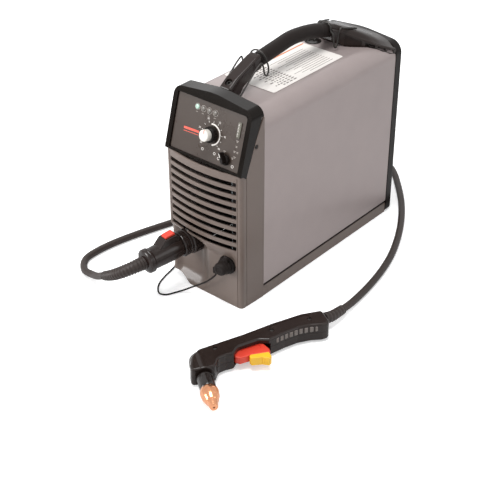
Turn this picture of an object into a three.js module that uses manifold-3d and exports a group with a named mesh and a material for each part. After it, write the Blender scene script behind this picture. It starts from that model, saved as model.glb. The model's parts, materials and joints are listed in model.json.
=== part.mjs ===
// Plasma cutter unit: an inverter power supply with its torch lead and hand torch, in millimetres, +Z up.
// The front faces -Y and the long side that is seen most faces +X. The origin is on the floor, under the middle of the base.
import * as THREE from "three";
import { mergeVertices } from "three/addons/utils/BufferGeometryUtils.js";
import Module from "manifold-3d";

const wasm = await Module();
wasm.setup();

// ---------------------------------------------------------------- driving dimensions
const GAP = 0.3; // between pieces that touch

const COVER_WIDTH = 172;
const COVER_TOP = 357;
const COVER_FRONT_Y = -167;
const COVER_REAR_Y = 205;
const COVER_RADIUS = 32; // of its long top edges
const COVER_WALL = 2;

const FRONT_Y = -223; // flat of the chin and the corner posts
const FRONT_WIDTH = COVER_WIDTH - 4;
const REAR_Y = 223;
const MOULD_WALL = 3;

const FOOT_HEIGHT = 3;
const FOOT_RADIUS = 14;
const TRAY_WALL = 2;
const TRAY_TOP = 26.5; // seam between the cover and the base

const POST_WIDTH = 9; // corner posts of the front bezel
const POST_RADIUS = 8;
const BULGE = 10; // the louvred wall swells this far past the posts
const SCOOP_DEPTH = 13; // hollow around the torch receptacle
const SLOT_HEIGHT = 6;
const SLOT_PITCH = 15.5;
const SLOT_WIDTH = FRONT_WIDTH - 22;

const HOOD_WIDTH = COVER_WIDTH - 3;
const HOOD_SIDE_TOP = COVER_TOP - 5;
const HOOD_APEX = COVER_TOP + 19;
const HOOD_RIM = 9.5; // width of the surround on each side of the panel
const PANEL_LEAN = THREE.MathUtils.degToRad(16.4);
const PANEL_WIDTH = HOOD_WIDTH - 2 * HOOD_RIM;
const PANEL_HEIGHT = 96;
const PANEL_THICKNESS = 3;
const PANEL_RECESS = 2.5;
const PANEL_FOOT_Z = Math.round(COVER_TOP + 1 - PANEL_HEIGHT * Math.cos(PANEL_LEAN)); // its lower edge

const LOUVRE_TOP = PANEL_FOOT_Z - 4;
const LOUVRE_FOOT = 112;
const SLOT_TOP_Z = LOUVRE_TOP - 17;
const SLOT_COUNT = Math.floor((SLOT_TOP_Z - LOUVRE_FOOT) / SLOT_PITCH) + 1;

const HANDLE_GRIP_RADIUS = 13;
const HANDLE_LEG_WIDTH = 24;
const WIRE_RADIUS = 1.5;

const LEAD_DIAMETER = 13;
const LEAD_FLOOR_Z = LEAD_DIAMETER / 2 + 0.1;
const COIL_CENTRE = [-213, 110];
const COIL_OUTER_RADIUS = 103.5;
const COIL_PITCH = 13.6;
const COIL_LAYER = 13.6;
const COIL_TURNS = 8;
const COIL_STEPS = 24; // steps a turn

const PLUG_TILT = THREE.MathUtils.degToRad(-11);
const PLUG_PITCH = THREE.MathUtils.degToRad(4.5);
const PLUG_ORIGIN = [-36, FRONT_Y + 12, 94];

const TORCH_ORIGIN = [223, -172, 0];
const TORCH_TURN = THREE.MathUtils.degToRad(-112);
const TORCH_MID_Z = 20; // height of the parting plane of the torch's two shells
const TORCH_HALF = 17; // half its thickness

// ---------------------------------------------------------------- helpers
const halfWidth = COVER_WIDTH / 2;

function merged(geometry) {
  const g = geometry.index ? geometry.toNonIndexed() : geometry.clone();
  g.deleteAttribute("normal");
  g.deleteAttribute("uv");
  return mergeVertices(g, 1e-4);
}

function solid(geometry) {
  const g = merged(geometry);
  return new wasm.Manifold(
    new wasm.Mesh({
      numProp: 3,
      vertProperties: g.attributes.position.array,
      triVerts: new Uint32Array(g.index.array),
    }),
  );
}

function geometryOf(manifold) {
  const mesh = manifold.getMesh();
  const g = new THREE.BufferGeometry();
  g.setAttribute("position", new THREE.BufferAttribute(new Float32Array(mesh.vertProperties), 3));
  g.setIndex(new THREE.BufferAttribute(new Uint32Array(mesh.triVerts), 1));
  g.computeVertexNormals();
  return g;
}

function join(...pieces) {
  return pieces.slice(1).reduce((sum, piece) => sum.add(piece), pieces[0]);
}

function cut(piece, ...tools) {
  return tools.reduce((rest, tool) => rest.subtract(tool), piece);
}

function common(...pieces) {
  return pieces.slice(1).reduce((rest, piece) => rest.intersect(piece), pieces[0]);
}

function box(x0, x1, y0, y1, z0, z1) {
  const g = new THREE.BoxGeometry(x1 - x0, y1 - y0, z1 - z0);
  g.translate((x0 + x1) / 2, (y0 + y1) / 2, (z0 + z1) / 2);
  return solid(g);
}

// A closed outline as [a, b] points; a third value rounds that corner with this radius.
function outline(points, arcSteps = 5) {
  const shape = [];
  points.forEach((point, i) => {
    const here = new THREE.Vector2(point[0], point[1]);
    if (!point[2]) {
      shape.push(here);
      return;
    }
    const before = points[(i + points.length - 1) % points.length];
    const after = points[(i + 1) % points.length];
    const toBefore = new THREE.Vector2(before[0], before[1]).sub(here).normalize();
    const toAfter = new THREE.Vector2(after[0], after[1]).sub(here).normalize();
    const halfAngle = Math.acos(toBefore.dot(toAfter)) / 2;
    const reach = point[2] / Math.tan(halfAngle);
    const start = here.clone().addScaledVector(toBefore, reach);
    const end = here.clone().addScaledVector(toAfter, reach);
    const middle = toBefore.clone().add(toAfter).normalize();
    const centre = here.clone().addScaledVector(middle, point[2] / Math.sin(halfAngle));
    const a0 = Math.atan2(start.y - centre.y, start.x - centre.x);
    let turn = Math.atan2(end.y - centre.y, end.x - centre.x) - a0;
    turn = Math.atan2(Math.sin(turn), Math.cos(turn));
    for (let k = 0; k <= arcSteps; k++) {
      const a = a0 + (turn * k) / arcSteps;
      shape.push(new THREE.Vector2(centre.x + point[2] * Math.cos(a), centre.y + point[2] * Math.sin(a)));
    }
  });
  return shape;
}

const X = new THREE.Vector3(1, 0, 0);
const Y = new THREE.Vector3(0, 1, 0);
const Z = new THREE.Vector3(0, 0, 1);

// An outline swept straight along an axis: [x, y] along z, [y, z] along x, [x, z] along y.
function prismGeometry(points, axis, from, to, bevel = 0, bevelSegments = 2) {
  const g = new THREE.ExtrudeGeometry(new THREE.Shape(points), {
    depth: to - from - 2 * bevel,
    bevelEnabled: bevel > 0,
    bevelThickness: bevel,
    bevelSize: bevel,
    bevelOffset: -bevel,
    bevelSegments,
    curveSegments: 6,
  });
  g.translate(0, 0, bevel);
  const turn = new THREE.Matrix4();
  if (axis === "x") turn.makeBasis(Y, Z, X).setPosition(from, 0, 0);
  if (axis === "y") turn.makeBasis(X, Z, Y.clone().negate()).setPosition(0, to, 0);
  if (axis === "z") turn.setPosition(0, 0, from);
  return g.applyMatrix4(turn);
}

function prism(...args) {
  return solid(prismGeometry(...args));
}

// A turned piece: profile points [radius, height], its axis given as a direction through a centre.
function turned(profile, centre, direction, sides = 24) {
  const g = new THREE.LatheGeometry(
    profile.map(([r, h]) => new THREE.Vector2(r, h)),
    sides,
  );
  const turn = new THREE.Quaternion().setFromUnitVectors(Y, new THREE.Vector3(...direction).normalize());
  g.applyQuaternion(turn);
  g.translate(...centre);
  return solid(g);
}

function cylinder(radius, from, to, centre, direction, sides = 24) {
  return turned(
    [
      [0, from],
      [radius, from],
      [radius, to],
      [0, to],
    ],
    centre,
    direction,
    sides,
  );
}

// A tube that follows a curve: an extruded regular section.
function tubeGeometry(curve, radius, steps, sides) {
  const section = [];
  for (let k = 0; k < sides; k++) {
    const a = (2 * Math.PI * k) / sides;
    section.push(new THREE.Vector2(radius * Math.cos(a), radius * Math.sin(a)));
  }
  return new THREE.ExtrudeGeometry(new THREE.Shape(section), { steps, extrudePath: curve, bevelEnabled: false });
}

function splineOf(points, tension = 0.5) {
  return new THREE.CatmullRomCurve3(
    points.map((p) => new THREE.Vector3(...p)),
    false,
    "centripetal",
    tension,
  );
}

// Rings of equal length joined into one closed skin with flat ends; each ring runs anticlockwise seen from the last one.
function loftGeometry(rings) {
  const sides = rings[0].length;
  const position = rings.flat(2);
  const index = [];
  for (let r = 0; r + 1 < rings.length; r++)
    for (let s = 0; s < sides; s++) {
      const a = r * sides + s;
      const b = r * sides + ((s + 1) % sides);
      index.push(a, b, b + sides, a, b + sides, a + sides);
    }
  const last = (rings.length - 1) * sides;
  for (let s = 1; s + 1 < sides; s++) {
    index.push(0, s + 1, s);
    index.push(last, last + s, last + s + 1);
  }
  const g = new THREE.BufferGeometry();
  g.setAttribute("position", new THREE.Float32BufferAttribute(position, 3));
  g.setIndex(index);
  return g;
}

const smooth = (t) => {
  const c = Math.min(1, Math.max(0, t));
  return c * c * (3 - 2 * c);
};

const group = new THREE.Group();

function finish(color, roughness, metalness = 0) {
  return new THREE.MeshStandardMaterial({ color, roughness, metalness });
}

function add(name, shape, material, parent = group) {
  const geometry = shape.isBufferGeometry ? shape : geometryOf(shape);
  const mesh = new THREE.Mesh(geometry, material);
  mesh.name = name;
  parent.add(mesh);
  return mesh;
}

const silverPaint = () => finish(0x8f8b8d, 0.45, 0.3);
const greyPlastic = () => finish(0x4b4745, 0.5);
const blackPlastic = () => finish(0x1c1a1a, 0.45);
const blackRubber = () => finish(0x181616, 0.8);
const glossBlack = () => finish(0x12100f, 0.2);
const steel = () => finish(0x9a9a98, 0.35, 0.9);
const copper = () => finish(0xc98a62, 0.3, 0.9);
const redPlastic = () => finish(0xd2402f, 0.45);
const yellowPlastic = () => finish(0xe8b41f, 0.45);

// ---------------------------------------------------------------- base tray and feet
const trayHalf = halfWidth - 0.5;
const trayFront = COVER_FRONT_Y + GAP;
const trayRear = COVER_REAR_Y - GAP;
const KEEL_HALF_WIDTH = 30;
const KEEL_HALF_LENGTH = 100;
const FOOT_INSET_X = halfWidth - 28;
const FOOT_INSET_Y = 38;

function baseTray() {
  const outside = box(-trayHalf, trayHalf, trayFront, trayRear, FOOT_HEIGHT, TRAY_TOP - GAP);
  const inside = box(
    -trayHalf + TRAY_WALL,
    trayHalf - TRAY_WALL,
    trayFront + TRAY_WALL,
    trayRear - TRAY_WALL,
    FOOT_HEIGHT + TRAY_WALL,
    TRAY_TOP + 10,
  );
  const keel = box(-KEEL_HALF_WIDTH, KEEL_HALF_WIDTH, -KEEL_HALF_LENGTH, KEEL_HALF_LENGTH, 0, FOOT_HEIGHT + 1);
  return join(cut(outside, inside), keel);
}
add("base_tray", baseTray(), greyPlastic());

const footPlaces = [
  [FOOT_INSET_X, trayFront + FOOT_INSET_Y],
  [-FOOT_INSET_X, trayFront + FOOT_INSET_Y],
  [FOOT_INSET_X, trayRear - FOOT_INSET_Y],
  [-FOOT_INSET_X, trayRear - FOOT_INSET_Y],
];
footPlaces.forEach(([x, y], i) => {
  const foot = turned(
    [
      [0, 0],
      [FOOT_RADIUS - 1, 0],
      [FOOT_RADIUS, 1],
      [FOOT_RADIUS, FOOT_HEIGHT - GAP],
      [0, FOOT_HEIGHT - GAP],
    ],
    [x, y, 0],
    [0, 0, 1],
    20,
  );
  add("rubber_foot_" + (i + 1), foot, blackRubber());
});

// ---------------------------------------------------------------- sheet cover
const REGULATOR_X = -33;
const REGULATOR_Y = COVER_REAR_Y - 93;
const REGULATOR_HOLE_RADIUS = 14;

function coverOutline(inset) {
  const side = halfWidth - inset;
  const top = COVER_TOP - inset;
  const radius = COVER_RADIUS - inset;
  return outline(
    [
      [side, TRAY_TOP],
      [side, top, radius],
      [-side, top, radius],
      [-side, TRAY_TOP],
    ],
    6,
  );
}

function coverShell() {
  const outside = prism(coverOutline(0), "y", COVER_FRONT_Y + GAP, COVER_REAR_Y - GAP);
  const inside = box(
    -halfWidth + COVER_WALL,
    halfWidth - COVER_WALL,
    COVER_FRONT_Y - 10,
    COVER_REAR_Y + 10,
    TRAY_TOP - 10,
    COVER_TOP - COVER_RADIUS,
  );
  const crown = prism(coverOutline(COVER_WALL), "y", COVER_FRONT_Y - 10, COVER_REAR_Y + 10);
  const hole = cylinder(REGULATOR_HOLE_RADIUS, COVER_TOP - 10, COVER_TOP + 10, [REGULATOR_X, REGULATOR_Y, 0], [0, 0, 1]);
  return cut(outside, inside, crown, hole);
}
add("cover_shell", coverShell(), silverPaint());

const LABEL_X = [-halfWidth + 26, halfWidth - 36];
const LABEL_Y = [COVER_FRONT_Y + 67, COVER_REAR_Y - 113];
add(
  "top_label_plate",
  prism(
    outline(
      [
        [LABEL_X[0], LABEL_Y[0], 4],
        [LABEL_X[1], LABEL_Y[0], 4],
        [LABEL_X[1], LABEL_Y[1], 4],
        [LABEL_X[0], LABEL_Y[1], 4],
      ],
      3,
    ),
    "z",
    COVER_TOP + GAP,
    COVER_TOP + GAP + 0.5,
  ),
  finish(0xd9d6d2, 0.4),
);

// ---------------------------------------------------------------- front bezel
// The wall in front, as the Y of its outer face at a place across (x) and up (z).
function frontFace(x, z) {
  const across = Math.min(1, Math.abs(x) / (FRONT_WIDTH / 2 - POST_WIDTH));
  const swell = BULGE * (1 - across * across) * smooth((z - 90) / (LOUVRE_FOOT - 90));
  const scoopAcross = smooth((14 - x) / 34) * smooth((x + halfWidth + 2) / 26);
  const scoopUp = smooth((LOUVRE_FOOT + 4 - z) / 14) * smooth((z - 2) / 24);
  return FRONT_Y - swell + SCOOP_DEPTH * scoopAcross * scoopUp;
}

const FRONT_STEPS = 10;
const CORNER_STEPS = 3;
const bezelRear = COVER_FRONT_Y;

// One level of the bezel's wall, from its left rear edge round the front to its right rear edge.
function bezelLevel(z, wall) {
  const half = FRONT_WIDTH / 2 - wall;
  const rearHalf = halfWidth - wall;
  const radius = POST_RADIUS - wall;
  const cornerY = (side) => frontFace(side * (FRONT_WIDTH / 2 - POST_WIDTH + 1), z) + wall + radius;
  const points = [
    [-rearHalf, bezelRear],
    [-half, cornerY(-1) + 6],
  ];
  for (let k = 0; k <= CORNER_STEPS; k++) {
    const a = Math.PI + (Math.PI / 2) * (k / CORNER_STEPS);
    points.push([-half + radius + radius * Math.cos(a), cornerY(-1) + radius * Math.sin(a)]);
  }
  const reach = FRONT_WIDTH / 2 - POST_WIDTH;
  for (let k = 0; k <= FRONT_STEPS; k++) {
    const x = -reach + (2 * reach * k) / FRONT_STEPS;
    points.push([x, frontFace(x, z) + wall]);
  }
  for (let k = 0; k <= CORNER_STEPS; k++) {
    const a = 1.5 * Math.PI + (Math.PI / 2) * (k / CORNER_STEPS);
    points.push([half - radius + radius * Math.cos(a), cornerY(1) + radius * Math.sin(a)]);
  }
  points.push([half, cornerY(1) + 6], [rearHalf, bezelRear]);
  return points.map(([x, y]) => [x, y, z]);
}

function bezelWall() {
  const levels = [FOOT_HEIGHT - 2.7, 8, 16, 21, 27, 60, 90];
  for (const step of [-12, -8, -4, 0, 4]) levels.push(LOUVRE_FOOT + step);
  levels.push((LOUVRE_FOOT + LOUVRE_TOP) / 2, LOUVRE_TOP, HOOD_SIDE_TOP);
  const rings = levels.map((z) => [...bezelLevel(z, 0), ...bezelLevel(z, MOULD_WALL).reverse()]);
  const sides = rings[0].length;
  const position = rings.flat(2);
  const index = [];
  for (let r = 0; r + 1 < rings.length; r++)
    for (let s = 0; s < sides; s++) {
      const a = r * sides + s;
      const b = r * sides + ((s + 1) % sides);
      index.push(a, b, b + sides, a, b + sides, a + sides);
    }
  const last = (rings.length - 1) * sides;
  for (let s = 0; s + 1 < sides / 2; s++) {
    const near = [s, s + 1, sides - 2 - s, sides - 1 - s];
    index.push(near[0], near[2], near[1], near[0], near[3], near[2]);
    index.push(last + near[0], last + near[1], last + near[2], last + near[0], last + near[2], last + near[3]);
  }
  const g = new THREE.BufferGeometry();
  g.setAttribute("position", new THREE.Float32BufferAttribute(position, 3));
  g.setIndex(index);
  return solid(g);
}

// Where the black hood takes over from the grey bezel, seen from the side as [y, z] points.
const seamLow = [FRONT_Y + 12, LOUVRE_TOP - 6];
const seamHigh = [COVER_FRONT_Y - 5, HOOD_SIDE_TOP];
function hoodRegion(shift) {
  return prism(
    [
      [FRONT_Y - 30, LOUVRE_TOP + 3 + shift],
      [FRONT_Y + 4, LOUVRE_TOP + shift],
      [seamLow[0], seamLow[1] + shift],
      [seamHigh[0], seamHigh[1] + shift],
      [bezelRear + 5, seamHigh[1] + shift],
      [bezelRear + 5, HOOD_APEX + 30],
      [FRONT_Y - 30, HOOD_APEX + 30],
    ].map(([y, z]) => new THREE.Vector2(y, z)),
    "x",
    -halfWidth - 10,
    halfWidth + 10,
  );
}

const plugAxis = [
  Math.sin(PLUG_TILT) * Math.cos(PLUG_PITCH),
  -Math.cos(PLUG_TILT) * Math.cos(PLUG_PITCH),
  -Math.sin(PLUG_PITCH),
];
const RECEPTACLE_RADIUS = 25;
const SOCKET_X = 53;
const SOCKET_Z = 82;
const SOCKET_RADIUS = 13;

// The foot of the bezel is cut away in a slow curve at its left corner.
const footCurve = [
  [-halfWidth - 10, -5],
  [-37, -5],
  [-37, -1],
  [-42, 3.5],
  [-50, 8],
  [-60, 12],
  [-72, 15],
  [-halfWidth + 2, 17],
  [-halfWidth - 10, 18],
];

function frontBezel() {
  const slots = [];
  for (let k = 0; k < SLOT_COUNT; k++) {
    const z = SLOT_TOP_Z - k * SLOT_PITCH;
    slots.push(
      box(-SLOT_WIDTH / 2, SLOT_WIDTH / 2, FRONT_Y - 20, FRONT_Y + 12, z - SLOT_HEIGHT / 2, z + SLOT_HEIGHT / 2),
    );
  }
  const receptacleHole = cylinder(RECEPTACLE_RADIUS + GAP, -30, 40, PLUG_ORIGIN, plugAxis);
  const socketHole = cylinder(SOCKET_RADIUS + GAP, -20, 20, [SOCKET_X, FRONT_Y, SOCKET_Z], [0, -1, 0]);
  const socketSeat = cylinder(17 + GAP, 0, 20, [SOCKET_X, FRONT_Y, SOCKET_Z], [0, -1, 0]);
  const footCut = prism(
    footCurve.map(([x, z]) => new THREE.Vector2(x, z)),
    "y",
    FRONT_Y - 20,
    bezelRear + 5,
  );
  return cut(bezelWall(), hoodRegion(0), receptacleHole, socketHole, socketSeat, footCut, ...slots);
}
add("front_bezel", frontBezel(), greyPlastic());

// ---------------------------------------------------------------- panel hood and control panel
const hoodHalf = HOOD_WIDTH / 2;

function hoodOutline(inset) {
  const half = hoodHalf - inset;
  return outline(
    [
      [half, LOUVRE_TOP - 20],
      [half, HOOD_APEX - 9 - inset, 16 - inset],
      [0, HOOD_APEX - inset],
      [-half, HOOD_APEX - 9 - inset, 16 - inset],
      [-half, LOUVRE_TOP - 20],
    ],
    4,
  );
}

const leanRun = Math.tan(PANEL_LEAN);
const panelFaceY = (z) => FRONT_Y + 2 + (z - PANEL_FOOT_Z) * leanRun;

function hoodSide(inset) {
  const lip = -PANEL_RECESS + inset;
  return [
    [panelFaceY(LOUVRE_TOP - 20) + lip, LOUVRE_TOP - 20],
    [panelFaceY(HOOD_APEX + 10) + lip, HOOD_APEX + 10],
    [bezelRear, HOOD_APEX + 10],
    [bezelRear, LOUVRE_TOP - 20],
  ].map(([y, z]) => new THREE.Vector2(y, z));
}

const panel = new THREE.Group();
panel.position.set(0, FRONT_Y + 2, PANEL_FOOT_Z);
panel.rotation.x = -PANEL_LEAN;
panel.updateMatrixWorld(true);
group.add(panel);

// A box given in the leaning panel's own axes: x across, d forward of the face, w up the face.
function panelBox(x0, x1, d0, d1, w0, w1) {
  const g = new THREE.BoxGeometry(x1 - x0, d1 - d0, w1 - w0);
  g.translate((x0 + x1) / 2, -(d0 + d1) / 2, (w0 + w1) / 2);
  return solid(g.applyMatrix4(panel.matrixWorld));
}

function panelHood() {
  const outside = common(
    prism(hoodOutline(0), "y", FRONT_Y - 20, bezelRear),
    prism(hoodSide(0), "x", -hoodHalf, hoodHalf),
    hoodRegion(GAP),
  );
  const inside = common(
    prism(hoodOutline(MOULD_WALL), "y", FRONT_Y - 20, bezelRear + 5),
    prism(hoodSide(PANEL_THICKNESS + 5), "x", -hoodHalf + MOULD_WALL, hoodHalf - MOULD_WALL),
  );
  const opening = panelBox(
    -PANEL_WIDTH / 2 - GAP,
    PANEL_WIDTH / 2 + GAP,
    -PANEL_THICKNESS,
    20,
    -GAP,
    PANEL_HEIGHT + GAP,
  );
  const window = panelBox(-PANEL_WIDTH / 2 + 6, PANEL_WIDTH / 2 - 6, -20, 20, 4, PANEL_HEIGHT - 6);
  return cut(outside, inside, opening, window);
}
add("panel_hood", panelHood(), glossBlack());

const KNOB_PLACE = [8, PANEL_HEIGHT - 50];
const SELECTOR_PLACE = [PANEL_WIDTH / 2 - 29, 15];
const LAMP_PITCH = 13;
const LAMP_PLACES = [0, 1, 2, 3].map((k) => [-PANEL_WIDTH / 2 + 44 + k * LAMP_PITCH, PANEL_HEIGHT - 14]);
const LAMP_RADIUS = 4.2;
const GAUGE_PLACE = [PANEL_WIDTH / 2 - 13, PANEL_HEIGHT - 26];
const SHAFT_RADIUS = 4;
const outward = [0, -1, 0]; // off the face, in the panel's own axes

function controlPanel() {
  const plate = solid(
    prismGeometry(
      outline(
        [
          [-PANEL_WIDTH / 2, 0, 3],
          [PANEL_WIDTH / 2, 0, 3],
          [PANEL_WIDTH / 2, PANEL_HEIGHT, 9],
          [-PANEL_WIDTH / 2, PANEL_HEIGHT, 4],
        ],
        3,
      ),
      "y",
      GAP,
      PANEL_THICKNESS - GAP,
    ),
  );
  const holes = [KNOB_PLACE, SELECTOR_PLACE].map(([x, w]) =>
    cylinder(SHAFT_RADIUS + GAP, -10, 10, [x, 0, w], outward, 12),
  );
  const lamps = LAMP_PLACES.map(([x, w]) => cylinder(LAMP_RADIUS + GAP, -10, 10, [x, 0, w], outward, 12));
  return cut(plate, ...holes, ...lamps);
}
add("control_panel", controlPanel(), finish(0x3a3533, 0.25), panel);

// The knob's shaft runs back through the panel; skirt and cap stand in front of it.
const knob = turned(
  [
    [0, -16],
    [SHAFT_RADIUS, -16],
    [SHAFT_RADIUS, 1],
    [16, 1],
    [15, 9],
    [12.5, 11],
    [12, 20],
    [10.5, 21.5],
    [0, 21.5],
  ],
  [KNOB_PLACE[0], 0, KNOB_PLACE[1]],
  outward,
  20,
);
add("current_knob", knob, finish(0xdedbd4, 0.4), panel);

function modeSelector() {
  const hub = turned(
    [
      [0, -16],
      [SHAFT_RADIUS, -16],
      [SHAFT_RADIUS, 1],
      [9, 1],
      [8, 6],
      [0, 6],
    ],
    [SELECTOR_PLACE[0], 0, SELECTOR_PLACE[1]],
    outward,
    16,
  );
  const lever = new THREE.BoxGeometry(5, 11, 20);
  lever.rotateY(THREE.MathUtils.degToRad(-35));
  lever.translate(SELECTOR_PLACE[0] - 2, -8, SELECTOR_PLACE[1] + 3);
  return join(hub, solid(lever));
}
add("mode_selector", modeSelector(), blackPlastic(), panel);

LAMP_PLACES.forEach(([x, w], i) => {
  const lens = turned(
    [
      [0, -5],
      [LAMP_RADIUS, -5],
      [LAMP_RADIUS, 0.6],
      [LAMP_RADIUS - 1, 1.2],
      [0, 1.2],
    ],
    [x, 0, w],
    outward,
    12,
  );
  add("indicator_lens_" + (i + 1), lens, finish(0x8f9a94, 0.3), panel);
});

const gauge = new THREE.BoxGeometry(7, 1, 26);
gauge.translate(GAUGE_PLACE[0], -0.8 - GAP + 0.3, GAUGE_PLACE[1]);
add("pressure_window", merged(gauge), finish(0x6c6a60, 0.3), panel);

// ---------------------------------------------------------------- rear bezel
const REAR_APEX = COVER_TOP + 3;
const REAR_SHOULDER = COVER_TOP - 5;
const REAR_RADIUS = 24;
const rearHalf = halfWidth + 0.8;
const GLAND_PLACE = [38, 52];
const AIR_PLACE = [-46, 70];
const ROCKER_PLACE = [42, COVER_TOP - 57];
const ROCKER_SIZE = [22, 30];
const FAN_CENTRE_Z = 175;
const VENT_COUNT = 8;
const VENT_PITCH = 15;
const VENT_HEIGHT = 6;

function rearOutline(inset) {
  const half = rearHalf - inset;
  return outline(
    [
      [half, FOOT_HEIGHT - 2.7 + inset, 8],
      [half, REAR_SHOULDER - inset, REAR_RADIUS - inset],
      [0, REAR_APEX - inset],
      [-half, REAR_SHOULDER - inset, REAR_RADIUS - inset],
      [-half, FOOT_HEIGHT - 2.7 + inset, 8],
    ],
    4,
  );
}

function rearBezel() {
  const outside = prism(rearOutline(0), "y", COVER_REAR_Y, REAR_Y, 2.5, 2);
  const inside = prism(rearOutline(MOULD_WALL), "y", COVER_REAR_Y - 5, REAR_Y - 4);
  const vents = [];
  for (let k = 0; k < VENT_COUNT; k++) {
    const z = FAN_CENTRE_Z + (k - (VENT_COUNT - 1) / 2) * VENT_PITCH;
    vents.push(box(-55, 55, COVER_REAR_Y, REAR_Y + 5, z - VENT_HEIGHT / 2, z + VENT_HEIGHT / 2));
  }
  const glandHole = cylinder(11 + GAP, 0, 40, [GLAND_PLACE[0], COVER_REAR_Y, GLAND_PLACE[1]], [0, 1, 0]);
  const airHole = cylinder(10 + GAP, 0, 40, [AIR_PLACE[0], COVER_REAR_Y, AIR_PLACE[1]], [0, 1, 0]);
  const rockerHole = box(
    ROCKER_PLACE[0] - ROCKER_SIZE[0] / 2 - GAP,
    ROCKER_PLACE[0] + ROCKER_SIZE[0] / 2 + GAP,
    COVER_REAR_Y,
    REAR_Y + 5,
    ROCKER_PLACE[1] - ROCKER_SIZE[1] / 2 - 1,
    ROCKER_PLACE[1] + ROCKER_SIZE[1] / 2 + 1,
  );
  return cut(outside, inside, ...vents, glandHole, airHole, rockerHole);
}
add("rear_bezel", rearBezel(), blackPlastic());

// Threaded collar with a domed nut for the supply cable.
const gland = turned(
  [
    [5, 4],
    [10.5, 4],
    [10.5, 18.3],
    [15, 18.3],
    [15, 26],
    [12, 34],
    [5, 34],
    [5, 4],
  ],
  [GLAND_PLACE[0], COVER_REAR_Y, GLAND_PLACE[1]],
  [0, 1, 0],
  16,
);
add("mains_gland", gland, blackPlastic());

const airInlet = turned(
  [
    [3, 4],
    [9.5, 4],
    [9.5, 18.3],
    [12, 18.3],
    [12, 24],
    [6, 24],
    [6, 38],
    [7, 40],
    [5, 43],
    [3, 43],
    [3, 4],
  ],
  [AIR_PLACE[0], COVER_REAR_Y, AIR_PLACE[1]],
  [0, 1, 0],
  16,
);
add("air_inlet_fitting", airInlet, finish(0xb9974f, 0.35, 0.9));

// The rocker turns on a pin inside the wall; its face is two flats that meet in a shallow V.
const ROCKER_PIVOT_Y = REAR_Y - 4;
const rocker = prism(
  [
    [ROCKER_PIVOT_Y - 7, -ROCKER_SIZE[1] / 2 + 4],
    [ROCKER_PIVOT_Y + 4, -ROCKER_SIZE[1] / 2],
    [ROCKER_PIVOT_Y + 4.5, 0],
    [ROCKER_PIVOT_Y + 7.5, ROCKER_SIZE[1] / 2 - 0.5],
    [ROCKER_PIVOT_Y - 7, ROCKER_SIZE[1] / 2 - 4],
  ]
    .map(([y, z]) => new THREE.Vector2(y, z + ROCKER_PLACE[1]))
    .reverse(),
  "x",
  ROCKER_PLACE[0] - ROCKER_SIZE[0] / 2,
  ROCKER_PLACE[0] + ROCKER_SIZE[0] / 2,
);
add("power_rocker", rocker, blackPlastic());

// ---------------------------------------------------------------- handle
// The handle's own height is counted from the cover's top.
const handle = new THREE.Group();
handle.position.set(0, 0, COVER_TOP);
group.add(handle);

const LEG_FRONT_Y = COVER_FRONT_Y + 0.6;
const NECK_Y = COVER_FRONT_Y + 83;
const TAIL_Y = COVER_REAR_Y - 98;
const alongGrip = (share) => NECK_Y + (TAIL_Y - NECK_Y) * share;

// Centre line of the arched grip, above the middle of the cover.
const gripLine = splineOf([
  [0, NECK_Y, 39],
  [0, alongGrip(0.13), 42.3],
  [0, alongGrip(0.28), 45.8],
  [0, alongGrip(0.455), 49.5],
  [0, alongGrip(0.6), 48],
  [0, alongGrip(0.785), 42.5],
  [0, TAIL_Y, 32],
]);
const GRIP_STEPS = 14;
add("handle_grip", solid(tubeGeometry(gripLine, HANDLE_GRIP_RADIUS, GRIP_STEPS, 14)), blackRubber(), handle);

// The neck of each leg stops just short of the grip's end, square to its line.
function neckAt(t, z) {
  const end = gripLine.getPointAt(t);
  const along = gripLine.getTangentAt(t);
  const away = t < 0.5 ? -GAP : GAP;
  return end.y + away / along.y - ((z - end.z) * along.z) / along.y;
}

const screwAxis = [0, -0.5, 0.866];
const screwPlace = [0, LEG_FRONT_Y + 12.4, 22];
const SCREW_RADIUS = 5;

function frontLeg() {
  const side = outline(
    [
      [LEG_FRONT_Y, GAP],
      [LEG_FRONT_Y, 19, 6],
      [LEG_FRONT_Y + 18.4, 31, 12],
      [NECK_Y - 14, 51, 20],
      [neckAt(0, 54), 54],
      [neckAt(0, 27.5), 27.5],
      [NECK_Y - 17, 25, 8],
      [LEG_FRONT_Y + 36.4, 10, 8],
      [LEG_FRONT_Y + 28.4, GAP],
    ],
    4,
  );
  const half = HANDLE_LEG_WIDTH / 2;
  const leg = solid(prismGeometry(side.reverse(), "x", -half, half, 4, 2));
  const screwHole = cylinder(SCREW_RADIUS + GAP, -4, 30, screwPlace, screwAxis, 12);
  return cut(leg, screwHole);
}
add("handle_front_leg", frontLeg(), blackPlastic(), handle);

const handleScrew = turned(
  [
    [0, -4 + GAP],
    [SCREW_RADIUS, -4 + GAP],
    [SCREW_RADIUS, 2],
    [2.5, 2],
    [2.5, -1],
    [0, -1],
  ],
  screwPlace,
  screwAxis,
  12,
);
add("handle_screw_front", handleScrew, steel(), handle);

// One section of the rear leg: upright sides and a crowned top.
const TAIL_EDGE = 5;
function tailRing(y, half, edge, crown, low) {
  const flank = half - TAIL_EDGE;
  const top = [];
  const steps = 6;
  for (let k = 0; k <= steps; k++) {
    const x = flank - (2 * flank * k) / steps;
    top.push([x, y, edge + (crown - edge) * (1 - (x / flank) ** 2)]);
  }
  const ring = [[half, y, low], [half, y, edge - TAIL_EDGE], ...top, [-half, y, edge - TAIL_EDGE], [-half, y, low]];
  return ring.reverse();
}

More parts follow.
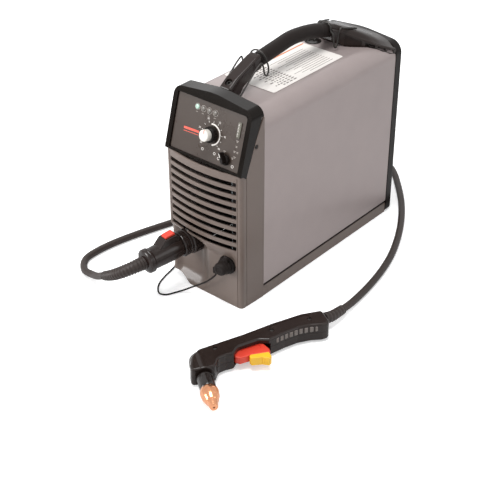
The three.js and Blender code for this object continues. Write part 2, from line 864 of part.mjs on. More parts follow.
const TAIL_FOOT = 5 - COVER_RADIUS; // below the cover's rounded edge, where the cut takes over
const tailSections = [
  [TAIL_Y, HANDLE_GRIP_RADIUS + 0.5, 36, 45, 17],
  [TAIL_Y + 15, 17, 31, 40, 9],
  [TAIL_Y + 26, halfWidth - 51, 25, 35, -5],
  [TAIL_Y + 38, halfWidth - 35, 17.5, 31, TAIL_FOOT],
  [TAIL_Y + 51, halfWidth - 20, 11, 25, TAIL_FOOT],
  [TAIL_Y + 65, halfWidth - 9, 3, 19, TAIL_FOOT],
  [TAIL_Y + 81, halfWidth - 3, -4, 11, TAIL_FOOT],
  [COVER_REAR_Y - GAP, halfWidth - 1, -11, 4, TAIL_FOOT],
];

// Height of the rear leg's crowned top at a place on it.
function tailTop(x, y) {
  const i = tailSections.findIndex((section) => section[0] > y);
  const [before, after] = [tailSections[i - 1], tailSections[i]];
  const t = (y - before[0]) / (after[0] - before[0]);
  const [half, edge, crown] = [1, 2, 3].map((k) => before[k] + (after[k] - before[k]) * t);
  return edge + (crown - edge) * (1 - (x / (half - TAIL_EDGE)) ** 2);
}

function rearLeg() {
  const rings = tailSections.map((section) => tailRing(...section));
  rings[0] = rings[0].map(([x, , z]) => [x, neckAt(1, z), z]);
  const cover = prism(coverOutline(-GAP), "y", 0, COVER_REAR_Y + 10).translate([0, 0, -COVER_TOP]);
  return cut(solid(loftGeometry(rings)), cover);
}
add("handle_rear_leg", rearLeg(), blackPlastic(), handle);

// Spring wire clips, one over each end of the grip. The arch follows the grip at a place t along it, and each foot
// is given as points for the +X side, its y counted from that end of the grip.
const CLIP_STEPS = 36;
const WIRE_LIFT = 0.9; // between the wire's end and the leg that it lies on

function wireClip(name, t, standOff, fromY, feet) {
  const radius = HANDLE_GRIP_RADIUS + WIRE_RADIUS + standOff;
  const centre = gripLine.getPointAt(t);
  const along = gripLine.getTangentAt(t);
  const up = new THREE.Vector3().crossVectors(X, along);
  const arch = [0, 30, 60, 85].map((degrees) => {
    const a = THREE.MathUtils.degToRad(degrees);
    return centre
      .clone()
      .addScaledVector(up, radius * Math.cos(a))
      .addScaledVector(X, radius * Math.sin(a))
      .toArray();
  });
  const half = [...arch, ...feet.map(([x, y, z]) => [x, y + fromY, z])];
  const mirrored = half.slice(1).map(([x, y, z]) => [-x, y, z]);
  const line = splineOf([...mirrored.reverse(), ...half]);
  add(name, solid(tubeGeometry(line, WIRE_RADIUS, CLIP_STEPS, 8)), steel(), handle);
}

wireClip("strap_wire_front", 0.02, 3.2, NECK_Y, [
  [20.5, 4, 35],
  [22, 3.5, 26],
  [22.5, -1.5, 18.5],
  [22.6, -7.5, 24],
  [22.4, -10.5, 37],
  [22, -14, 44.5],
  [21.6, -21, 42.5],
  [21.2, -43, 25.5],
  [20.9, -70, WIRE_RADIUS],
]);
wireClip("strap_wire_rear", 0.955, 0.6, TAIL_Y, [
  [20.5, -8, 31],
  [22.8, -8, 17],
  [23.4, -6, 7],
  [24, -1.5, 6],
  [24, 1.5, 15],
  [23.8, 4, 31],
  [24.3, 9, 38],
  [25.5, 20, 35.5],
  [28, 34, tailTop(28, TAIL_Y + 34) + WIRE_RADIUS + WIRE_LIFT],
  [31, 48, tailTop(31, TAIL_Y + 48) + WIRE_RADIUS + WIRE_LIFT],
]);

// ---------------------------------------------------------------- torch receptacle and plug
const plug = new THREE.Group();
plug.position.set(...PLUG_ORIGIN);
plug.rotation.set(PLUG_PITCH, 0, PLUG_TILT, "ZXY");
plug.updateMatrixWorld(true);
group.add(plug);
const plugCentre = [0, 0, 0];

const receptacle = turned(
  [
    [0, -18],
    [22, -18],
    [22, -10],
    [RECEPTACLE_RADIUS, -10],
    [RECEPTACLE_RADIUS, 13],
    [23, 15],
    [22, 20],
    [0, 20],
  ],
  plugCentre,
  outward,
  24,
);
add("torch_receptacle", receptacle, blackPlastic(), plug);

const RING_FROM = 20 + GAP;
const RING_TO = 33;
const SPIGOT_RADIUS = 11.7;
const lockingRing = turned(
  [
    [SPIGOT_RADIUS + GAP, RING_FROM],
    [22, RING_FROM],
    [23, RING_FROM + 2],
    [23, RING_TO - 2],
    [21.5, RING_TO],
    [SPIGOT_RADIUS + GAP, RING_TO],
    [SPIGOT_RADIUS + GAP, RING_FROM],
  ],
  plugCentre,
  outward,
  24,
);
add("plug_locking_ring", lockingRing, blackPlastic(), plug);

const PLUG_LENGTH = 107;
const BUTTON_FROM = 42;
const BUTTON_TO = 62;
const BUTTON_HALF = 7;
const BUTTON_TRAVEL = 3;
const BUTTON_SEAT_Z = 19;
const BUTTON_TOP_Z = 37;
const HUMP_HALF = BUTTON_HALF + 3.5;

function plugBody() {
  const barrel = turned(
    [
      [0, RING_FROM],
      [SPIGOT_RADIUS, RING_FROM],
      [SPIGOT_RADIUS, RING_TO + GAP],
      [19, RING_TO + GAP],
      [20.5, 48],
      [19.5, PLUG_LENGTH - 14],
      [22, PLUG_LENGTH - 12],
      [22, PLUG_LENGTH - 4],
      [19, PLUG_LENGTH - 2],
      [14, PLUG_LENGTH],
      [0, PLUG_LENGTH],
    ],
    plugCentre,
    outward,
    24,
  );
  const pocket = box(
    -BUTTON_HALF - GAP,
    BUTTON_HALF + GAP,
    -BUTTON_TO - GAP,
    -BUTTON_FROM + GAP,
    BUTTON_SEAT_Z - BUTTON_TRAVEL - GAP,
    BUTTON_TOP_Z,
  );
  const humpSide = outline(
    [
      [-78, 12],
      [-RING_TO - 2, 12],
      [-RING_TO - 2, 23, 2],
      [-BUTTON_FROM + 1, 29, 3],
      [-BUTTON_TO - 3, 28, 4],
      [-78, 18, 2],
    ],
    2,
  );
  const hump = prism(humpSide, "x", -HUMP_HALF, HUMP_HALF, 1.5, 1);
  return cut(join(barrel, hump), pocket);
}
add("plug_body", plugBody(), blackPlastic(), plug);

const buttonSide = outline(
  [
    [-BUTTON_TO, BUTTON_SEAT_Z],
    [-BUTTON_FROM, BUTTON_SEAT_Z],
    [-BUTTON_FROM, BUTTON_TOP_Z, 3],
    [-BUTTON_TO, BUTTON_TOP_Z - 1, 3],
  ],
  3,
);
add(
  "plug_release_button",
  merged(prismGeometry(buttonSide, "x", -BUTTON_HALF, BUTTON_HALF)),
  redPlastic(),
  plug,
);

// ---------------------------------------------------------------- torch lead
const plugEnd = new THREE.Vector3(0, -PLUG_LENGTH - GAP, 0).applyMatrix4(plug.matrixWorld);
const offPlug = (s) => plugEnd.clone().addScaledVector(new THREE.Vector3(...plugAxis), s).toArray();

// The lead's centre line from the plug to the coil, hand-laid; the boot takes up its first stretch.
const bootPoints = [
  offPlug(0),
  offPlug(3),
  [-61.6, -334, 83.5],
  [-72.5, -346.5, 77],
  [-89, -352.5, 66.5],
  [-108, -350, 54],
  [-126.5, -344, 42],
];
const leadFrontPoints = [
  [-126.75, -343.92, 41.84],
  [-138.5, -340, 34.2],
  [-157, -334.5, 22.5],
  [-177, -327.5, 13],
  [-202, -323, 8],
  [-221.5, -309, LEAD_FLOOR_Z],
  [-232, -292, LEAD_FLOOR_Z],
  [-234.5, -267, LEAD_FLOOR_Z],
  [-232.5, -236.5, LEAD_FLOOR_Z],
  [-226.5, -203, LEAD_FLOOR_Z],
  [-218, -168.5, LEAD_FLOOR_Z],
  [-206.5, -129.5, LEAD_FLOOR_Z],
  [-192.5, -88, LEAD_FLOOR_Z],
  [-175, -45, LEAD_FLOOR_Z],
  [-153, -2, LEAD_FLOOR_Z],
  [-133, 33, LEAD_FLOOR_Z],
  [-117, 62, LEAD_FLOOR_Z],
  [-111, 76.5, LEAD_FLOOR_Z],
  [COIL_CENTRE[0] + COIL_OUTER_RADIUS, COIL_CENTRE[1] - LEAD_DIAMETER - 7, LEAD_FLOOR_Z],
  [COIL_CENTRE[0] + COIL_OUTER_RADIUS, COIL_CENTRE[1] - LEAD_DIAMETER - GAP, LEAD_FLOOR_Z],
];
const coilTopZ = LEAD_FLOOR_Z + COIL_LAYER;
const leadRearPoints = [
  [COIL_CENTRE[0] + COIL_OUTER_RADIUS, COIL_CENTRE[1] + LEAD_DIAMETER + GAP, coilTopZ],
  [COIL_CENTRE[0] + COIL_OUTER_RADIUS, COIL_CENTRE[1] + LEAD_DIAMETER + 6, coilTopZ],
  [-109.5, 144, 18.6],
  [-109.5, 168, 14],
  [-109.5, 194, 9],
  [-109.3, 220, 6.9],
  [-108, 250, LEAD_FLOOR_Z],
  [-104, 284, LEAD_FLOOR_Z],
  [-94, 315, LEAD_FLOOR_Z],
  [-75, 342, LEAD_FLOOR_Z],
  [-46, 358, LEAD_FLOOR_Z],
  [-14, 356, LEAD_FLOOR_Z],
  [14, 339, LEAD_FLOOR_Z],
  [53, 299, LEAD_FLOOR_Z],
  [98, 245, LEAD_FLOOR_Z],
  [137, 186, LEAD_FLOOR_Z],
  [168, 127, LEAD_FLOOR_Z],
  [190, 74, LEAD_FLOOR_Z],
  [205, 22, LEAD_FLOOR_Z],
  [215, -30, LEAD_FLOOR_Z],
  [220.5, -72, 7.4],
  [223.5, -100, 9.4],
  [225, -122, 12],
];
const torchBootPoints = [
  [225, -122.3, 12.05],
  [225.8, -138, 14.2],
  [225.4, -156, 16.4],
  [TORCH_ORIGIN[0] - 0.27, TORCH_ORIGIN[1] - 0.67, TORCH_MID_Z],
];

// A moulded boot: rings of ribs that follow a line and taper from one radius to the other.
const BOOT_SIDE_COUNT = 10;
function ribbedBoot(points, fromRadius, toRadius, ribs, groove) {
  const line = splineOf(points);
  const rings = [];
  const ringCount = ribs * 4;
  const frames = line.computeFrenetFrames(ringCount, false);
  for (let k = 0; k <= ringCount; k++) {
    const t = k / ringCount;
    const centre = line.getPointAt(t);
    const deep = k > 1 && k < ringCount - 1 && k % 4 > 1 ? groove : 0;
    const radius = fromRadius + (toRadius - fromRadius) * t - deep;
    const ring = [];
    for (let s = 0; s < BOOT_SIDE_COUNT; s++) {
      const a = (-2 * Math.PI * s) / BOOT_SIDE_COUNT;
      const p = centre
        .clone()
        .addScaledVector(frames.normals[k], -radius * Math.cos(a))
        .addScaledVector(frames.binormals[k], radius * Math.sin(a));
      ring.push([p.x, p.y, p.z]);
    }
    rings.push(ring);
  }
  return solid(loftGeometry(rings));
}
add("plug_boot", ribbedBoot(bootPoints, 12.5, 8.5, 11, 1.3), blackRubber());
add("torch_boot", ribbedBoot(torchBootPoints, 8.6, 10.5, 5, 1), blackRubber());

const leadRadius = LEAD_DIAMETER / 2;
add("torch_lead_front", solid(tubeGeometry(splineOf(leadFrontPoints), leadRadius, 28, 8)), blackRubber());
add("torch_lead_rear", solid(tubeGeometry(splineOf(leadRearPoints), leadRadius, 38, 8)), blackRubber());

// The spare lead, coiled in two layers: in along the floor, up where it turns, and out again on top.
function coilPoint(turn) {
  const half = COIL_TURNS / 2;
  const away = Math.sqrt((turn - half) ** 2 + 0.03 ** 2) - Math.sqrt(half ** 2 + 0.03 ** 2);
  const radius = COIL_OUTER_RADIUS + away * COIL_PITCH;
  const rise = COIL_LAYER * smooth((turn - half + 0.25) / 0.5);
  const a = 2 * Math.PI * turn;
  return new THREE.Vector3(
    COIL_CENTRE[0] + radius * Math.cos(a),
    COIL_CENTRE[1] + radius * Math.sin(a),
    LEAD_FLOOR_Z + rise,
  );
}

const COIL_SIDE_COUNT = 6;
function coilGeometry() {
  const points = [];
  const start = coilPoint(0);
  const finishPoint = coilPoint(COIL_TURNS);
  points.push(start.clone().add(new THREE.Vector3(0, -LEAD_DIAMETER, 0)));
  for (let k = 0; k <= COIL_TURNS * COIL_STEPS; k++) points.push(coilPoint(k / COIL_STEPS));
  points.push(finishPoint.clone().add(new THREE.Vector3(0, LEAD_DIAMETER, 0)));
  let least = Infinity;
  for (let i = 0; i < points.length; i++)
    for (let j = i + COIL_STEPS / 2; j < points.length; j++)
      least = Math.min(least, points[i].distanceTo(points[j]));
  console.log("coil: least gap to itself " + (least - LEAD_DIAMETER).toFixed(2) + " mm");
  const rings = points.map((p, k) => {
    const before = points[Math.max(0, k - 1)];
    const after = points[Math.min(points.length - 1, k + 1)];
    const along = after.clone().sub(before);
    if (k === 0 || k === points.length - 1) along.set(0, 1, 0);
    along.normalize();
    const across = new THREE.Vector3().crossVectors(along, Z).normalize();
    const up = new THREE.Vector3().crossVectors(across, along).normalize();
    const ring = [];
    for (let s = 0; s < COIL_SIDE_COUNT; s++) {
      const a = (2 * Math.PI * (s + 0.5)) / COIL_SIDE_COUNT;
      const q = p
        .clone()
        .addScaledVector(across, leadRadius * Math.cos(a))
        .addScaledVector(up, leadRadius * Math.sin(a));
      ring.push([q.x, q.y, q.z]);
    }
    return ring;
  });
  return loftGeometry(rings.reverse());
}
add("torch_lead_coil", solid(coilGeometry()), blackRubber());

// ---------------------------------------------------------------- work lead socket and its tethered cap
const socketCentre = [SOCKET_X, FRONT_Y, SOCKET_Z];
const workSocket = turned(
  [
    [0, -16],
    [SOCKET_RADIUS - 1, -16],
    [SOCKET_RADIUS, -14],
    [SOCKET_RADIUS, GAP],
    [17, GAP],
    [17, 4],
    [15, 6],
    [0, 6],
  ],
  socketCentre,
  outward,
  20,
);
add("work_socket", workSocket, blackPlastic());

function socketCap() {
  const cup = turned(
    [
      [0, 6 + GAP],
      [14.5, 6 + GAP],
      [14.5, 10],
      [12.5, 11],
      [11.5, 22],
      [9, 24],
      [0, 24],
    ],
    socketCentre,
    outward,
    20,
  );
  const tab = box(SOCKET_X + 1, SOCKET_X + 9, FRONT_Y - 13, FRONT_Y - 8, SOCKET_Z + 8, SOCKET_Z + 24);
  const ear = box(SOCKET_X - 19, SOCKET_X - 8, FRONT_Y - 19, FRONT_Y - 13, SOCKET_Z - 16, SOCKET_Z - 4);
  return join(cup, tab, ear);
}
add("work_socket_cap", socketCap(), blackRubber());

// The cap's cord hangs to the floor and comes back to the left side of the bezel.
const LANYARD_RADIUS = 1.6;
const lanyardPoints = [
  [SOCKET_X - 14, FRONT_Y - 16, SOCKET_Z - 16 - GAP],
  [SOCKET_X - 14, FRONT_Y - 16, SOCKET_Z - 19],
  [34, -240.5, 56],
  [20, -242, 41.5],
  [2, -242.5, 27],
  [-15, -244, 14.5],
  [-28, -249, 5.5],
  [-38, -261, 2],
  [-46, -276, 1.8],
  [-57, -281, 1.8],
  [-70, -272, 1.8],
  [-80, -257, 1.8],
  [-86.5, -238, 1.8],
  [-92, -214, 1.8],
  [-95, -197, 4],
  [-93.4, -187, 12],
  [-86.9, -181, 21],
];
add("cap_lanyard", solid(tubeGeometry(splineOf(lanyardPoints), LANYARD_RADIUS, 44, 8)), finish(0x6b625c, 0.6));

// ---------------------------------------------------------------- inside the case
const floorZ = FOOT_HEIGHT + TRAY_WALL + GAP;
const PLATE_HALF = 1;
const centrePlate = box(-PLATE_HALF, PLATE_HALF, COVER_FRONT_Y + 17, COVER_REAR_Y - 25, floorZ, COVER_TOP - 32);
add("centre_plate", centrePlate, finish(0xa7a9ab, 0.4, 0.8));

const FIN_COUNT = 9;
function heatsink() {
  const base = PLATE_HALF + GAP;
  const blades = [box(base, base + 6, -70, 130, 90, 258)];
  for (let k = 0; k < FIN_COUNT; k++) {
    const z = 94 + k * 20;
    blades.push(box(base + 5, base + 44, -70, 130, z - 1.5, z + 1.5));
  }
  return join(...blades);
}
add("heatsink", heatsink(), finish(0xb9bcc0, 0.35, 0.9));

const boardX = -PLATE_HALF - GAP;
const boardBack = boardX - 2;
add("power_board", box(boardBack, boardX, -140, 90, 70, COVER_TOP - 47), finish(0x2f5a3a, 0.5));

const CAPACITOR_RADIUS = 17.5;
[-95, -50].forEach((y, i) => {
  const can = turned(
    [
      [0, GAP],
      [CAPACITOR_RADIUS, GAP],
      [CAPACITOR_RADIUS, 48],
      [CAPACITOR_RADIUS - 1.5, 50],
      [0, 50],
    ],
    [boardBack, y, 262],
    [-1, 0, 0],
    20,
  );
  add("capacitor_" + (i + 1), can, finish(0x2a3350, 0.4));
});

const controlBoard = new THREE.BoxGeometry(124, 2, 80);
controlBoard.translate(0, 16 + GAP + 1, 46);
add("control_board", merged(controlBoard), finish(0x2f5a3a, 0.5), panel);

const CORE_X = [halfWidth - 70, halfWidth - 10];
const CORE_Y = [10, 70];
const CORE_Z = [floorZ, floorZ + 58];
const LIMB_X = [CORE_X[0] + 24, CORE_X[0] + 36];
function transformerCore() {
  const block = box(CORE_X[0], CORE_X[1], CORE_Y[0], CORE_Y[1], CORE_Z[0], CORE_Z[1]);
  const left = box(CORE_X[0] + 10, LIMB_X[0], CORE_Y[0] - 5, CORE_Y[1] + 5, CORE_Z[0] + 10, CORE_Z[1] - 10);
  const right = box(LIMB_X[1], CORE_X[1] - 10, CORE_Y[0] - 5, CORE_Y[1] + 5, CORE_Z[0] + 10, CORE_Z[1] - 10);
  return cut(block, left, right);
}
add("transformer_core", transformerCore(), finish(0x4a4a4c, 0.6, 0.3));

function transformerWinding() {
  const around = box(
    CORE_X[0] + 10 + GAP,
    CORE_X[1] - 10 - GAP,
    CORE_Y[0] - 11,
    CORE_Y[1] + 11,
    CORE_Z[0] + 10 + GAP,
    CORE_Z[1] - 10 - GAP,
  );
  const bore = box(
    LIMB_X[0] - GAP,
    LIMB_X[1] + GAP,
    CORE_Y[0] - GAP,
    CORE_Y[1] + GAP,
    CORE_Z[0],
    CORE_Z[1],
  );
  return cut(around, bore);
}
add("transformer_winding", transformerWinding(), finish(0xb06a3a, 0.5, 0.4));

function solenoidValve() {
  const middleX = -halfWidth + 38;
  const block = box(middleX - 18, middleX + 18, -30, 30, floorZ, floorZ + 24);
  const coil = cylinder(13, 0, 34, [middleX, 8, floorZ + 24 - 1], [0, 0, 1], 20);
  return join(block, coil);
}
add("solenoid_valve", solenoidValve(), finish(0x8a8d90, 0.4, 0.7));

// ---------------------------------------------------------------- cooling fan
const FAN_HALF = 60;
const FAN_BORE = 56;
const FAN_FRONT_Y = REAR_Y - 29.3;
const FAN_REAR_Y = REAR_Y - 4 - GAP;
const fanCentre = [0, 0, FAN_CENTRE_Z];
const HUB_RADIUS = 20;
const MOTOR_PLATE_Y = FAN_REAR_Y - 4;
function fanFrame() {
  const block = box(-FAN_HALF, FAN_HALF, FAN_FRONT_Y, FAN_REAR_Y, FAN_CENTRE_Z - FAN_HALF, FAN_CENTRE_Z + FAN_HALF);
  const bore = cylinder(FAN_BORE, FAN_FRONT_Y - 5, FAN_REAR_Y + 5, fanCentre, [0, 1, 0], 28);
  const motor = cylinder(HUB_RADIUS + 2, MOTOR_PLATE_Y, FAN_REAR_Y, fanCentre, [0, 1, 0], 20);
  const spokes = [
    box(-FAN_BORE - 1, FAN_BORE + 1, MOTOR_PLATE_Y, FAN_REAR_Y, FAN_CENTRE_Z - 3, FAN_CENTRE_Z + 3),
    box(-3, 3, MOTOR_PLATE_Y, FAN_REAR_Y, FAN_CENTRE_Z - FAN_BORE - 1, FAN_CENTRE_Z + FAN_BORE + 1),
  ];
  return join(cut(block, bore), motor, ...spokes);
}
add("fan_frame", fanFrame(), blackPlastic());

const BLADE_COUNT = 7;
const BLADE_REACH = 53;
const HUB_REAR_Y = MOTOR_PLATE_Y - GAP;
function fanRotor() {
  const pieces = [cylinder(HUB_RADIUS, FAN_FRONT_Y + 1, HUB_REAR_Y, fanCentre, [0, 1, 0], 20)];
  const middleY = (FAN_FRONT_Y + HUB_REAR_Y) / 2;
  for (let k = 0; k < BLADE_COUNT; k++) {
    const blade = new THREE.BoxGeometry(BLADE_REACH - HUB_RADIUS + 4, 2, 20);
    blade.translate((BLADE_REACH + HUB_RADIUS - 4) / 2, 0, 0);
    blade.rotateX(THREE.MathUtils.degToRad(38));
    blade.rotateY((2 * Math.PI * k) / BLADE_COUNT);
    blade.translate(0, middleY, FAN_CENTRE_Z);
    pieces.push(solid(blade));
  }
  return join(...pieces);
}
add("fan_rotor", fanRotor(), blackPlastic());

// ---------------------------------------------------------------- air regulator
const REGULATOR_TOP = COVER_TOP - 19;
const STEM_RADIUS = 5;
const regulatorCentre = [REGULATOR_X, REGULATOR_Y, 0];
function regulatorBody() {
  const bowl = turned(
    [
      [0, -106],
      [14, -106],
      [21, -98],
      [21, -54],
      [25, -52],
      [25, -12],
      [18, -6],
      [12, 0],
      [0, 0],
    ],
    [REGULATOR_X, REGULATOR_Y, REGULATOR_TOP],
    [0, 0, 1],
    24,
  );
  const bracket = box(
    REGULATOR_X + 10,
    -PLATE_HALF - GAP,
    REGULATOR_Y - 12,
    REGULATOR_Y + 12,
    REGULATOR_TOP - 48,
    REGULATOR_TOP - 18,
  );
  return join(bowl, bracket);
}
add("regulator_body", regulatorBody(), finish(0x2b2b2d, 0.4));

const PULL_TRAVEL = 4;
const KNOB_RADIUS = REGULATOR_HOLE_RADIUS - 1.5;
const KNOB_TOP = COVER_TOP - 1;
const stem = cylinder(STEM_RADIUS, REGULATOR_TOP + GAP, KNOB_TOP - 6, regulatorCentre, [0, 0, 1], 14);
add("regulator_stem", stem, steel());
const regulatorKnob = turned(
  [
    [STEM_RADIUS + GAP, REGULATOR_TOP + 2],
    [KNOB_RADIUS, REGULATOR_TOP + 2],
    [KNOB_RADIUS, KNOB_TOP - 1.5],
    [KNOB_RADIUS - 1.5, KNOB_TOP],
    [0, KNOB_TOP],
    [0, KNOB_TOP - 6 + GAP],
    [STEM_RADIUS + GAP, KNOB_TOP - 6 + GAP],
    [STEM_RADIUS + GAP, REGULATOR_TOP + 2],
  ],
  regulatorCentre,
  [0, 0, 1],
  24,
);
add("regulator_knob", regulatorKnob, blackPlastic());

// ---------------------------------------------------------------- hand torch, lying on its side
// In its own axes it runs from the lead (x = 0) to the head along +x, with trigger and nozzle towards +y.
const torch = new THREE.Group();
torch.position.set(...TORCH_ORIGIN);
torch.rotation.z = TORCH_TURN;
torch.updateMatrixWorld(true);
group.add(torch);

const headPoint = new THREE.Vector3(236, 8, TORCH_MID_Z);
const headAxis = new THREE.Vector3(0.25, 0.967, -0.01).normalize();
const alongHead = (s) => headPoint.clone().addScaledVector(headAxis, s).toArray();
const HEAD_END = 36;

const shellOutline = outline(
  [
    [3, -4, 6],
    [40, -11.5, 30],
    [95, -11, 60],
    [150, -7, 60],
    [232, -5.5, 14],
    [250, 6, 16],
    [262, 26, 12],
    [265.5, 39, 3],
    [227, 46, 3],
    [215.5, 25, 14],
    [184, 5.3, 2],
    [124, 5.3, 3],
    [117, 27, 5],
    [88, 22.5, 30],
    [62, 21, 30],
    [40, 25, 20],
    [22, 32, 8],
    [7, 32.5, 9],
  ],
  3,
);

// The trigger hangs from a lug at its front end and swings inwards.
const TRIGGER_HALF = 7;
const triggerOutline = outline(
  [
    [174, -1, 2],
    [182, -1, 2],
    [183.5, 30, 3],
    [178, 36, 4],
    [158, 37, 20],
    [127, 45, 3],
    [124.5, 36, 3],
    [128, 15, 3],
    [172, 13, 4],
  ],
  3,
);

// The lower shell reaches out under the trigger's front end.
const guardOutline = [
  [170, 0],
  [230, 0],
  [230, 44],
  [218, 43],
  [205, 32],
  [190, 26],
  [178, 20],
];
const SLEEVE_RADIUS = 18.6;

function torchWhole() {
  const low = TORCH_MID_Z - TORCH_HALF;
  const high = TORCH_MID_Z + TORCH_HALF;
  const body = solid(prismGeometry(shellOutline, "z", low, high, 2.6, 1));
  const lugPocket = prism(
    [
      [171, -4],
      [185.5, -4],
      [187, 30],
      [171, 30],
    ].map(([u, v]) => new THREE.Vector2(u, v)),
    "z",
    TORCH_MID_Z - TRIGGER_HALF - GAP,
    TORCH_MID_Z + TRIGGER_HALF + GAP,
  );
  const headBore = cylinder(9 + GAP, 8, 80, headPoint.toArray(), headAxis.toArray(), 18);
  const sleeve = turned(
    [
      [0, -16],
      [11, -14],
      [17, -6],
      [SLEEVE_RADIUS, 4],
      [SLEEVE_RADIUS, HEAD_END],
      [0, HEAD_END],
    ],
    headPoint.toArray(),
    headAxis.toArray(),
    20,
  );
  const guard = prism(
    guardOutline.map(([u, v]) => new THREE.Vector2(u, v)),
    "z",
    low,
    TORCH_MID_Z - TRIGGER_HALF - GAP,
  );
  return cut(join(body, sleeve, guard), lugPocket, headBore);
}

const wholeTorch = torchWhole();
const lowerSpace = box(-50, 350, -100, 150, -20, TORCH_MID_Z - GAP / 2);
const upperSpace = box(-50, 350, -100, 150, TORCH_MID_Z + GAP / 2, 80);
add("torch_shell_lower", common(wholeTorch, lowerSpace), blackPlastic(), torch);
add("torch_shell_upper", common(wholeTorch, upperSpace), blackPlastic(), torch);

const triggerSolid = solid(
  prismGeometry(triggerOutline, "z", TORCH_MID_Z - TRIGGER_HALF, TORCH_MID_Z + TRIGGER_HALF, 1.5, 1),
);
add("torch_trigger", triggerSolid, redPlastic(), torch);

const safetyOutline = outline(
  [
    [163, 36.3, 4],
    [130, 44.4, 1.5],
    [131, 56, 2],
    [137, 59.5, 2],
    [146, 52, 6],
    [163, 46, 4],
  ],
  3,
).reverse();
add(
  "trigger_safety",
  solid(prismGeometry(safetyOutline, "z", TORCH_MID_Z - TRIGGER_HALF - 1, TORCH_MID_Z + TRIGGER_HALF + 1, 1.2, 1)),
  yellowPlastic(),
  torch,
);

add("torch_head", cylinder(9, 9, 44, headPoint.toArray(), headAxis.toArray(), 18), finish(0x3a3634, 0.5), torch);

const CAP_FROM = 38.5;
const CAP_TO = 69;
const retainingCap = turned(
  [
    [9 + GAP, CAP_FROM],
    [12.5, CAP_FROM],
    [13.5, CAP_FROM + 2],
    [13.2, CAP_TO - 3],
    [12.2, CAP_TO],
    [0, CAP_TO],
    [0, 44 + GAP],
    [9 + GAP, 44 + GAP],
    [9 + GAP, CAP_FROM],
  ],
  headPoint.toArray(),
  headAxis.toArray(),
  24,
);
add("retaining_cap", retainingCap, finish(0x2c2724, 0.3), torch);

const nozzle = turned(
  [
    [0, CAP_TO + GAP],
    [13.6, CAP_TO + GAP],
    [15.2, CAP_TO + 7],
    [14.2, CAP_TO + 18],
    [10.6, CAP_TO + 28],
    [8.6, CAP_TO + 31],
    [6.4, CAP_TO + 42],
    [2, CAP_TO + 43],
    [1.2, CAP_TO + 38],
    [0, CAP_TO + 38],
  ],
  headPoint.toArray(),
  headAxis.toArray(),
  24,
);
add("nozzle", nozzle, copper(), torch);

export default group;
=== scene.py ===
# %% [markdown]
# # Plasma cutter unit
# A plasma cutter's power supply stands on the floor: a bent sheet cover between two moulded ends, a
# carrying handle on top, and a hose-like lead that runs from a quick plug in front, round the back, to a
# hand torch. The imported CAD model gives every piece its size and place; this script gives each one its
# finished shape and surface.

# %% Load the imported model
import json
import math

import bpy
from mathutils import Matrix, Vector


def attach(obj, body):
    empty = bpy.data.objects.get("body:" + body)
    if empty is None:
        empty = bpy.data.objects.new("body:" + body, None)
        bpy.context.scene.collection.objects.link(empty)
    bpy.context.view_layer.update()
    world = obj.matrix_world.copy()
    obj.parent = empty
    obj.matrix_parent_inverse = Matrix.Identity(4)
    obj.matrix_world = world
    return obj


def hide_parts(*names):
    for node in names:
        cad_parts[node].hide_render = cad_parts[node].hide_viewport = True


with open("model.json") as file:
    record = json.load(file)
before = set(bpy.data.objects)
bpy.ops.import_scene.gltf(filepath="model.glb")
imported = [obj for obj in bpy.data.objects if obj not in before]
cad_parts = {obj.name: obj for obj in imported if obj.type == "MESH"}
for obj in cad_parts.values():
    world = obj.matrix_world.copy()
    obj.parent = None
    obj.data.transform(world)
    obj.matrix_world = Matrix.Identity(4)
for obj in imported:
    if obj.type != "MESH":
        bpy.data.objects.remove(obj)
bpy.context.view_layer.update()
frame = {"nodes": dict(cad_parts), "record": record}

nodes = frame["nodes"]

# %% [markdown]
# ## The camera
# The photograph was taken from the right front corner, a little over 33 degrees above the floor, with a
# long lens, so that the edges of the case stay nearly parallel. A camera is turned about X by 90 degrees
# less its angle above the floor, and about Z by the angle that it stands away from the front.

# %% Camera
CAMERA_PLACE = (1.15548, -1.46553, 1.20787)
CAMERA_ABOVE_FLOOR = 33.434
CAMERA_AROUND = 40.279
LENS_MM = 84.6
camera_turn = (math.radians(90 - CAMERA_ABOVE_FLOOR), 0, math.radians(CAMERA_AROUND))
bpy.ops.object.camera_add(location=CAMERA_PLACE, rotation=camera_turn)
camera = bpy.context.object
camera.name = "camera"
camera.data.lens = LENS_MM
camera.data.sensor_width = 36
bpy.context.scene.camera = camera
print("camera stands", round(Vector(CAMERA_PLACE).length, 2), "m from the origin")

# %% [markdown]
# ## Lines for everything that bends
# The lead, the cap's cord, the wire clips and the grip all follow smooth lines through a few chosen points.
# A centripetal Catmull-Rom line passes through every point without loops, and CAD used the same one, so the
# pieces made here lie exactly where their solids are. Points are written in millimetres, and metres() turns
# them to Blender's unit.

# %% Smooth lines
MM = 0.001


def metres(points):
    return [Vector(p) * MM for p in points]


def smooth_line(points, steps=8):
    """Points along a centripetal Catmull-Rom line, steps of them in each stretch."""
    knots = [2 * points[0] - points[1], *points, 2 * points[-1] - points[-2]]
    line = []
    for a, b, c, d in zip(knots, knots[1:], knots[2:], knots[3:]):
        ab, bc, cd = (math.sqrt((q - p).length) for p, q in ((a, b), (b, c), (c, d)))
        leave = ((b - a) / ab - (c - a) / (ab + bc) + (c - b) / bc) * bc
        arrive = ((c - b) / bc - (d - b) / (bc + cd) + (d - c) / cd) * bc
        square = 3 * (c - b) - 2 * leave - arrive
        cube = 2 * (b - c) + leave + arrive
        line += [b + leave * t + square * t**2 + cube * t**3 for t in (k / steps for k in range(steps))]
    return line + [points[-1]]


def length_of(line):
    return sum((q - p).length for p, q in zip(line, line[1:]))


